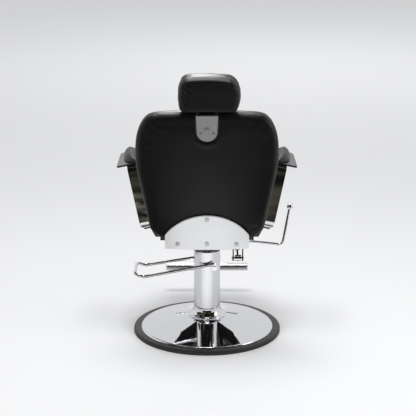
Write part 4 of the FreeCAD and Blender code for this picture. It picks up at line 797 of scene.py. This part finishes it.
def make_back_panel(sizes):
    """The rear panel: stretched tight, rolled over at its rim, with a recess for the lock plate."""
    line = back_line(0.002, PANEL_FOOT)
    thing = remeshed(slab("back_panel_cover", line, PANEL_REAR, PANEL_FRONT), 0.005)
    rolled(thing, line, PANEL_REAR, PANEL_ROLL, 1)
    remeshed(thing, 0.005)
    relaxed(thing, 3)
    swollen(thing, lambda points: points[:, 1] < -0.020, sizes.swell * 0.16)
    refined(thing)
    points = points_of(thing)
    rear = np.clip((points[:, 1] + 0.020) / 0.012, 0, 1)
    points[:, 1] += soft_noise(points, 0.13, 4) * 0.0010 * rear
    # The U-shaped recess round the lock plate, with a soft lip.
    across, up = np.abs(points[:, 0]), points[:, 2]
    side = across - (LOCK_HALF + np.clip((up - LOCK_CENTRE) / 0.063, 0, 1) * 0.003)
    round_end = np.hypot(across, np.minimum(up - LOCK_CENTRE, 0)) - LOCK_HALF
    away = np.where(up > LOCK_CENTRE, side, round_end)
    inside = 1 - np.clip((away + 0.001) / 0.006, 0, 1)
    inside *= np.clip((RECESS_TOP - up) / 0.003, 0, 1)
    inside = inside * inside * (3 - 2 * inside)
    lowered = np.minimum(points[:, 1], -sizes.recess)
    points[:, 1] = points[:, 1] * (1 - inside * rear) + lowered * inside * rear
    lip = np.exp(-((away - 0.013) / 0.009) ** 2) * (away > 0) * rear
    points[:, 1] += lip * 0.0016
    put_points(thing, points)
    relaxed(thing, 2, 0.3)
    cut_off(thing, PANEL_JOINT, 1)
    placed(thing, ON_BACK)
    settle(thing, "back", "black_vinyl")
    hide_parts("back_panel")


def make_back_cushion(sizes):
    """The front cushion: a bolster round a seamed middle, and a cord along its joint."""
    line = back_line(0.002, CUSHION_FOOT)
    thing = remeshed(slab("back_cushion_cover", line, CUSHION_REAR, CUSHION_FRONT), 0.006)
    rolled(thing, line, CUSHION_FRONT, CUSHION_ROLL, -1)
    remeshed(thing, 0.006)
    relaxed(thing, 5)
    swollen(thing, lambda points: points[:, 1] > -0.058, sizes.swell)
    refined(thing)
    front = -0.102
    bolster = back_line(0.062, BOLSTER_FOOT)
    bolster = bolster[bolster[:, 1] > 0.094]
    rim = laid_on(thing, [(x, front, z) for x, z in bolster])
    lumbar = np.array([(x, front, 0.215 + 0.012 * math.cos(x * 12))
                       for x in np.linspace(-0.185, 0.185, 90)])
    tree = BVHTree.FromObject(thing, bpy.context.evaluated_depsgraph_get())
    lumbar = np.array([tree.find_nearest(Vector(point))[0] for point in lumbar])
    seam_lines(thing, [rim, lumbar], sizes.seam_depth, 0.010)
    cut_off(thing, CUSHION_JOINT, -1)
    cord_path = laid_on(thing, [(x, CORD_DEPTH, z) for x, z in back_line(-0.006, CUSHION_FOOT)
                                if z > 0.052 or abs(x) > 0.13], -0.0024)
    start = int(np.argmax(cord_path[:, 2] <= 0.060))
    cord_path = np.roll(cord_path, -start, 0)
    cord_path = cord_path[cord_path[:, 2] > 0.060]
    cord = corded("back_welt", cord_path, sizes.welt, False)
    placed(thing, ON_BACK)
    placed(cord, ON_BACK)
    settle(thing, "back", "black_vinyl_seamed")
    settle(cord, "back", "black_vinyl")
    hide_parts("back_cushion")


def make_headrest(sizes):
    """The headrest: a barrel under a rolled top, gathered and creased at its ends."""
    low, high, middle = HEADREST_FOOT, HEADREST_TOP, HEADREST_MIDDLE
    thing = cushion_block("headrest_cover", (-0.104, -0.089, low), (0.104, 0.000, high))
    round_edges(thing, lambda along, middle: abs(along.z) > 0.9, 0.022, 5)
    round_edges(thing, lambda along, middle: abs(along.z) < 0.5 and middle.z > 0.65, 0.024, 6)
    round_edges(thing, lambda along, middle: abs(along.z) < 0.5 and middle.z < 0.58, 0.010, 3)
    remeshed(thing, 0.005)
    relaxed(thing, 5)
    swollen(thing, lambda points: (points[:, 2] < 0.576) & (np.abs(points[:, 0]) < 0.05),
            sizes.swell * 0.1, 5.0)
    # A barrel: widest half way up, drawn in at the foot and more so at the top.
    points = points_of(thing)
    share = np.clip((points[:, 2] - low) / (high - low), 0, 1)
    wide = 1.0 + 0.105 * np.sin(np.pi * np.clip(share * 0.92 + 0.06, 0, 1)) - 0.062 * share ** 4
    points[:, 0] = points[:, 0] * wide
    crown = np.abs(points[:, 0] / 0.11) ** 2.2
    points[:, 2] -= share ** 2 * (crown * 0.0085 + np.clip(-points[:, 0] / 0.11, 0, 1) * 0.003)
    points[:, 0] -= 0.0055 + 0.0030 * np.sin(np.pi * share)
    put_points(thing, points)
    refined(thing)
    points = points_of(thing)
    normals = normals_of(thing)
    ends = np.clip((np.abs(points[:, 0]) - 0.062) / 0.045, 0, 1)
    round_x = np.arctan2(points[:, 2] - middle, points[:, 1] + 0.046)
    jitter = np.sin(round_x * 3 + points[:, 0] * 31) * 0.9
    pleats = np.sin(round_x * 13 + jitter + np.sign(points[:, 0]) * 0.7)
    fold = np.clip(pleats, 0, 1) ** 1.5
    corner = 0.35 + 0.65 * np.clip((points[:, 2] - middle) / 0.05, 0, 1)
    points -= normals * (fold * ends ** 1.6 * corner * sizes.pleat)[:, None]
    points += normals * (soft_noise(points, 0.05, 9) * ends * 0.0010)[:, None]
    # Creases that run down from the upper corners of the rear face.
    rear = np.clip((points[:, 1] + 0.03) / 0.02, 0, 1)
    for start, end, depth in CREASES:
        start, end = np.array(start), np.array(end)
        step = end - start
        flat = points[:, [0, 2]] - start
        share = np.clip(flat @ step / (step @ step), 0, 1)
        away = np.linalg.norm(flat - share[:, None] * step, axis=1)
        points[:, 1] -= depth * rear * np.exp(-(away / 0.0032) ** 2) * (1 - share * 0.7)
        points[:, 1] += depth * 0.5 * rear * np.exp(-((away - 0.007) / 0.004) ** 2) * (1 - share)
    put_points(thing, points)
    relaxed(thing, 1, 0.3)
    # The seam of the boxed top runs round under its rolled edge.
    rim = [(x, y, high - 0.022) for x, y in rounded_path(-0.12, 0.12, -0.105, 0.016, 0.03, 300)]
    seam_lines(thing, [laid_on(thing, rim)], sizes.seam_depth * 0.35, 0.0045)
    placed(thing, ON_BACK)
    settle(thing, "headrest", "black_vinyl_seamed")
    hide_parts("headrest_cushion")


def make_seat_cushion(sizes):
    """The boxed seat cushion, with a seamed middle and a cord round each edge."""
    thing = cushion_block("seat_cushion_cover", SEAT_LOW, SEAT_HIGH)
    round_edges(thing, lambda along, middle: abs(along.z) > 0.9, 0.052, 6)
    round_edges(thing, lambda along, middle: abs(along.z) < 0.5 and middle.z > 0.5, 0.022, 5)
    round_edges(thing, lambda along, middle: abs(along.z) < 0.5 and middle.z < 0.43, 0.006, 2)
    remeshed(thing, 0.006)
    relaxed(thing, 5)
    swollen(thing, lambda points: points[:, 2] < 0.424, sizes.swell)
    refined(thing)
    points = points_of(thing)
    crown = np.clip(1 - (points[:, 0] / 0.2) ** 2, 0, 1) * np.clip(
        1 - ((points[:, 1] + 0.12) / 0.22) ** 2, 0, 1)
    top = np.clip((points[:, 2] - 0.49) / 0.01, 0, 1)
    points[:, 2] += top * (crown - 0.6) * 0.004 + top * soft_noise(points, 0.16, 5) * 0.0008
    put_points(thing, points)
    upper, lower, panel = (
        laid_on(thing, [(x, y, height) for x, y in rounded_path(*shape)])
        for height, shape in ((0.4985, SEAT_RIM), (0.436, SEAT_RIM), (0.53, SEAT_PANEL)))
    seam_lines(thing, [upper, lower, panel], sizes.seam_depth * 0.8, 0.008)
    settle(thing, "seat", "black_vinyl_seamed")
    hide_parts("seat_cushion")
    for name, path in (("seat_welt_upper", upper), ("seat_welt_lower", lower)):
        cord = corded(name, laid_on(thing, path, -0.0004), sizes.welt)
        settle(cord, "seat", "black_vinyl")


def make_arm_pads(sizes):
    """A stitched leaf on each tray, drawn once and mirrored for the other side."""
    line = closed_curve(PAD_OUTLINE, 180)
    first = slab("arm_pad_cover_left", line, PAD_FOOT, PAD_TOP)
    points = points_of(first)
    put_points(first, points[:, [0, 2, 1]])
    alone(first)
    bpy.ops.object.mode_set(mode="EDIT")
    bpy.ops.mesh.select_all(action="SELECT")
    bpy.ops.mesh.normals_make_consistent(inside=False)
    bpy.ops.object.mode_set(mode="OBJECT")
    round_edges(first, lambda along, middle: abs(along.z) < 0.5 and middle.z > 0.29, 0.009, 4)
    remeshed(first, 0.0035)
    relaxed(first, 4)
    swollen(first, lambda points: points[:, 2] < 0.275, 0.0035)
    # A leaf: thin along its edge and crowned along its middle.
    points = points_of(first)
    away = np.array([np.hypot(*(line - point[:2]).T).min() for point in points])
    crown = 0.34 + 0.66 * np.sin(np.clip(away / 0.030, 0, 1) * math.pi / 2)
    points[:, 2] = PAD_FOOT + (points[:, 2] - PAD_FOOT) * crown
    put_points(first, points)
    middle = line.mean(0)
    inner = middle + (line - middle) * (0.70, 0.88)
    top = laid_on(first, [(x, y, 0.31) for x, y in inner])
    seam_lines(first, [top], 0.0016, 0.0035)
    second = copied(first, "arm_pad_cover_right")
    second.data.transform(Matrix.Scale(-1, 4, (1, 0, 0)))
    second.data.flip_normals()
    for side, thing, solid in ((1, first, "arm_pad_left"), (-1, second, "arm_pad_right")):
        foot = Vector((ARM_FOOT.x * side, ARM_FOOT.y, ARM_FOOT.z))
        placed(thing, Matrix.Translation(foot) @ Matrix.Rotation(LEAN * side, 4, "Y"))
        settle(thing, "seat", "black_vinyl_seamed")
        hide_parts(solid)


def button_head(name, radius, height):
    """A domed screw head with a hexagon socket, standing on z = 0."""
    bpy.ops.object.select_all(action="DESELECT")
    bpy.ops.mesh.primitive_cylinder_add(vertices=36, radius=radius, depth=height,
                                        location=(0, 0, height / 2))
    thing = named(name)
    bpy.ops.object.transform_apply(location=True, rotation=True, scale=True)
    round_edges(thing, lambda along, middle: middle.z > height * 0.9 and abs(along.z) < 0.5,
                height * 0.75, 4)
    bpy.ops.mesh.primitive_cylinder_add(vertices=6, radius=radius * 0.42, depth=height,
                                        location=(0, 0, height * 0.85))
    cutter = bpy.context.active_object
    made = thing.modifiers.new("Socket", "BOOLEAN")
    made.object = cutter
    made.operation = "DIFFERENCE"
    apply_all(thing)
    bpy.data.objects.remove(cutter)
    # Faces inside the socket, which get a dark finish as painted shade.
    sunk = [int(math.hypot(face.center.x, face.center.y) < radius * 0.41
                and face.center.z < height * 0.97) for face in thing.data.polygons]
    return thing, sunk


def make_screws():
    """Button heads over the plain heads of the solids."""
    first, shaded_socket_faces = button_head("button_head", 0.0083, 0.0047)
    facing = Matrix.Rotation(math.radians(-90), 4, "X")
    for count, (label, spot, scale) in enumerate(SCREWS, 1):
        thing = copied(first, "%s_%d" % (label, count))
        thing.data.transform(Matrix.Scale(scale, 4))
        turn = Matrix.Rotation(0.4 * count, 4, "Z")
        placed(thing, ON_BACK @ Matrix.Translation(spot) @ facing @ turn)
        settle(thing, "back", "zinc_steel", angle=35)
        # The socket's faces get black steel as painted shade in the recess.
        thing.data.materials.append(finish("black_steel"))
        thing.data.polygons.foreach_set("material_index", shaded_socket_faces)
    bpy.data.objects.remove(first)


def add_camera(scene, lens):
    camera = bpy.data.cameras.new("camera")
    camera.lens = lens
    camera.sensor_width = 36
    camera.shift_x = 1 / FRAME_WIDTH
    camera.clip_end = 200
    holder = bpy.data.objects.new("camera", camera)
    holder.location = CAMERA_PLACE
    holder.rotation_euler = (math.pi / 2 - CAMERA_TILT, 0, math.pi)
    scene.collection.objects.link(holder)
    scene.camera = holder


def add_floor(colour):
    bpy.ops.object.select_all(action="DESELECT")
    bpy.ops.mesh.primitive_circle_add(vertices=96, radius=70, fill_type="NGON")
    floor = named("studio_floor")
    floor.data.materials.append(floor_finish(colour))


def add_cards(sheen):
    """Cards that paint the chrome's reflections: dark cards for a dark room in front and overhead,
    dark and olive cards beside the arm strips, a card that darkens to both sides as painted shade
    on the column, and a glowing card that paints the sheen.
    """
    looks = {
        "dark_room": card_finish("dark_room", (0.006, 0.006, 0.005, 1), (0.060, 0.054, 0.038, 1)),
        "dark_ceiling": card_finish(
            "dark_ceiling", (0.004, 0.004, 0.004, 1), (0.022, 0.020, 0.016, 1)),
        # Painted shade: the column's sides mirror this card's darker edges.
        "graded_floor": graded_finish(
            "graded_floor", (0.93, 0.93, 0.935, 1), (0.60, 0.60, 0.61, 1)),
        "olive_room": card_finish("olive_room", (0.008, 0.008, 0.006, 1), (0.16, 0.15, 0.11, 1), 9),
        "glowing_card": glowing_finish(sheen),
    }
    for name, size, spot, tilt, look in CARDS:
        bpy.ops.mesh.primitive_plane_add(
            size=1, location=spot, rotation=(math.radians(tilt), 0, 0))
        card = named(name)
        card.scale = (size[0], size[1], 1)
        bpy.ops.object.transform_apply(location=True, rotation=True, scale=True)
        card.data.materials.append(looks[look])
        # Hidden from the camera, from diffuse light and from shadows, so each card only paints
        # reflections.
        card.visible_camera = False
        card.visible_diffuse = False
        card.visible_shadow = False


def add_lamps(scene, studio):
    for name, spot, aim, size, power, mirrored in LAMPS:
        light = bpy.data.lights.new(name, "AREA")
        light.shape = "RECTANGLE"
        light.size, light.size_y = size
        light.energy = getattr(studio, power)
        lamp = bpy.data.objects.new(name, light)
        lamp.visible_glossy = mirrored
        lamp.location = spot
        lamp.rotation_euler = (Vector(aim) - Vector(spot)).to_track_quat("-Z", "Y").to_euler()
        scene.collection.objects.link(lamp)


def add_sky(scene, strength):
    world = bpy.data.worlds.new("studio")
    world.use_nodes = True
    sky = world.node_tree.nodes["Background"]
    sky.inputs["Color"].default_value = (0.985, 0.99, 1, 1)
    sky.inputs["Strength"].default_value = strength
    scene.world = world


class StageOperator(bpy.types.Operator):
    """Camera, floor, soft light and the cards that paint the reflection of a dark room in the
    chrome
    """
    bl_idname = "chair.stage"
    bl_label = "Studio"

    def execute(self, context):
        scene = context.scene
        studio = scene.chair_studio
        add_camera(scene, studio.lens)
        add_floor(tuple(scene.chair_colours.floor))
        add_cards(studio.sheen)
        add_lamps(scene, studio)
        add_sky(scene, studio.sky)
        scene.view_settings.view_transform = "Standard"
        return {"FINISHED"}


class FinishOperator(bpy.types.Operator):
    """Finishes of every solid of the chair, by its material slot"""
    bl_idname = "chair.finishes"
    bl_label = "Finishes"

    def execute(self, context):
        make_finishes(context.scene.chair_colours)
        for row in frame["record"]["subparts"]:
            solid = frame["nodes"][row["node"]]
            dress(solid, row["material_slot"])
        # The posts are chrome, dressed in black steel as painted shade where they stand between two
        # cushions.
        dress(frame["nodes"]["headrest_posts"], "black_steel")
        return {"FINISHED"}


class BackOperator(bpy.types.Operator):
    """Padded rear panel and front cushion of the back"""
    bl_idname = "chair.back"
    bl_label = "Back"

    def execute(self, context):
        make_back_panel(context.scene.chair_sizes)
        make_back_cushion(context.scene.chair_sizes)
        return {"FINISHED"}


class HeadrestOperator(bpy.types.Operator):
    """Gathered headrest cushion"""
    bl_idname = "chair.headrest"
    bl_label = "Headrest"

    def execute(self, context):
        make_headrest(context.scene.chair_sizes)
        return {"FINISHED"}


class SeatOperator(bpy.types.Operator):
    """Boxed seat cushion with corded edges"""
    bl_idname = "chair.seat"
    bl_label = "Seat"

    def execute(self, context):
        make_seat_cushion(context.scene.chair_sizes)
        return {"FINISHED"}


class ArmPadOperator(bpy.types.Operator):
    """Stitched pads on the arm trays"""
    bl_idname = "chair.arm_pads"
    bl_label = "Arm pads"

    def execute(self, context):
        make_arm_pads(context.scene.chair_sizes)
        return {"FINISHED"}


class ScrewOperator(bpy.types.Operator):
    """Button heads with hexagon sockets"""
    bl_idname = "chair.screws"
    bl_label = "Screws"

    def execute(self, context):
        make_screws()
        return {"FINISHED"}


PIECES = (StageOperator, FinishOperator, BackOperator, HeadrestOperator, SeatOperator,
          ArmPadOperator, ScrewOperator)


class ChairPanel(bpy.types.Panel):
    bl_idname = "CHAIR_PT_panel"
    bl_label = "Barber chair"
    bl_space_type = "VIEW_3D"
    bl_region_type = "UI"
    bl_category = "Chair"

    def draw(self, context):
        for piece in PIECES:
            self.layout.operator(piece.bl_idname)
        for group in (context.scene.chair_colours, context.scene.chair_sizes,
                      context.scene.chair_studio):
            for name in group.__annotations__:
                self.layout.prop(group, name)


GROUPS = (("chair_colours", ChairColours), ("chair_sizes", ChairSizes),
          ("chair_studio", ChairStudio))


def register():
    for name, group in GROUPS:
        bpy.utils.register_class(group)
        setattr(bpy.types.Scene, name, PointerProperty(type=group))
    for piece in PIECES:
        bpy.utils.register_class(piece)
    bpy.utils.register_class(ChairPanel)


def unregister():
    bpy.utils.unregister_class(ChairPanel)
    for piece in reversed(PIECES):
        bpy.utils.unregister_class(piece)
    for name, group in reversed(GROUPS):
        delattr(bpy.types.Scene, name)
        bpy.utils.unregister_class(group)


def main():
    register()
    bpy.ops.chair.stage()
    bpy.ops.chair.finishes()
    bpy.ops.chair.back()
    bpy.ops.chair.headrest()
    bpy.ops.chair.seat()
    bpy.ops.chair.arm_pads()
    bpy.ops.chair.screws()


if __name__ == "__main__":
    main()
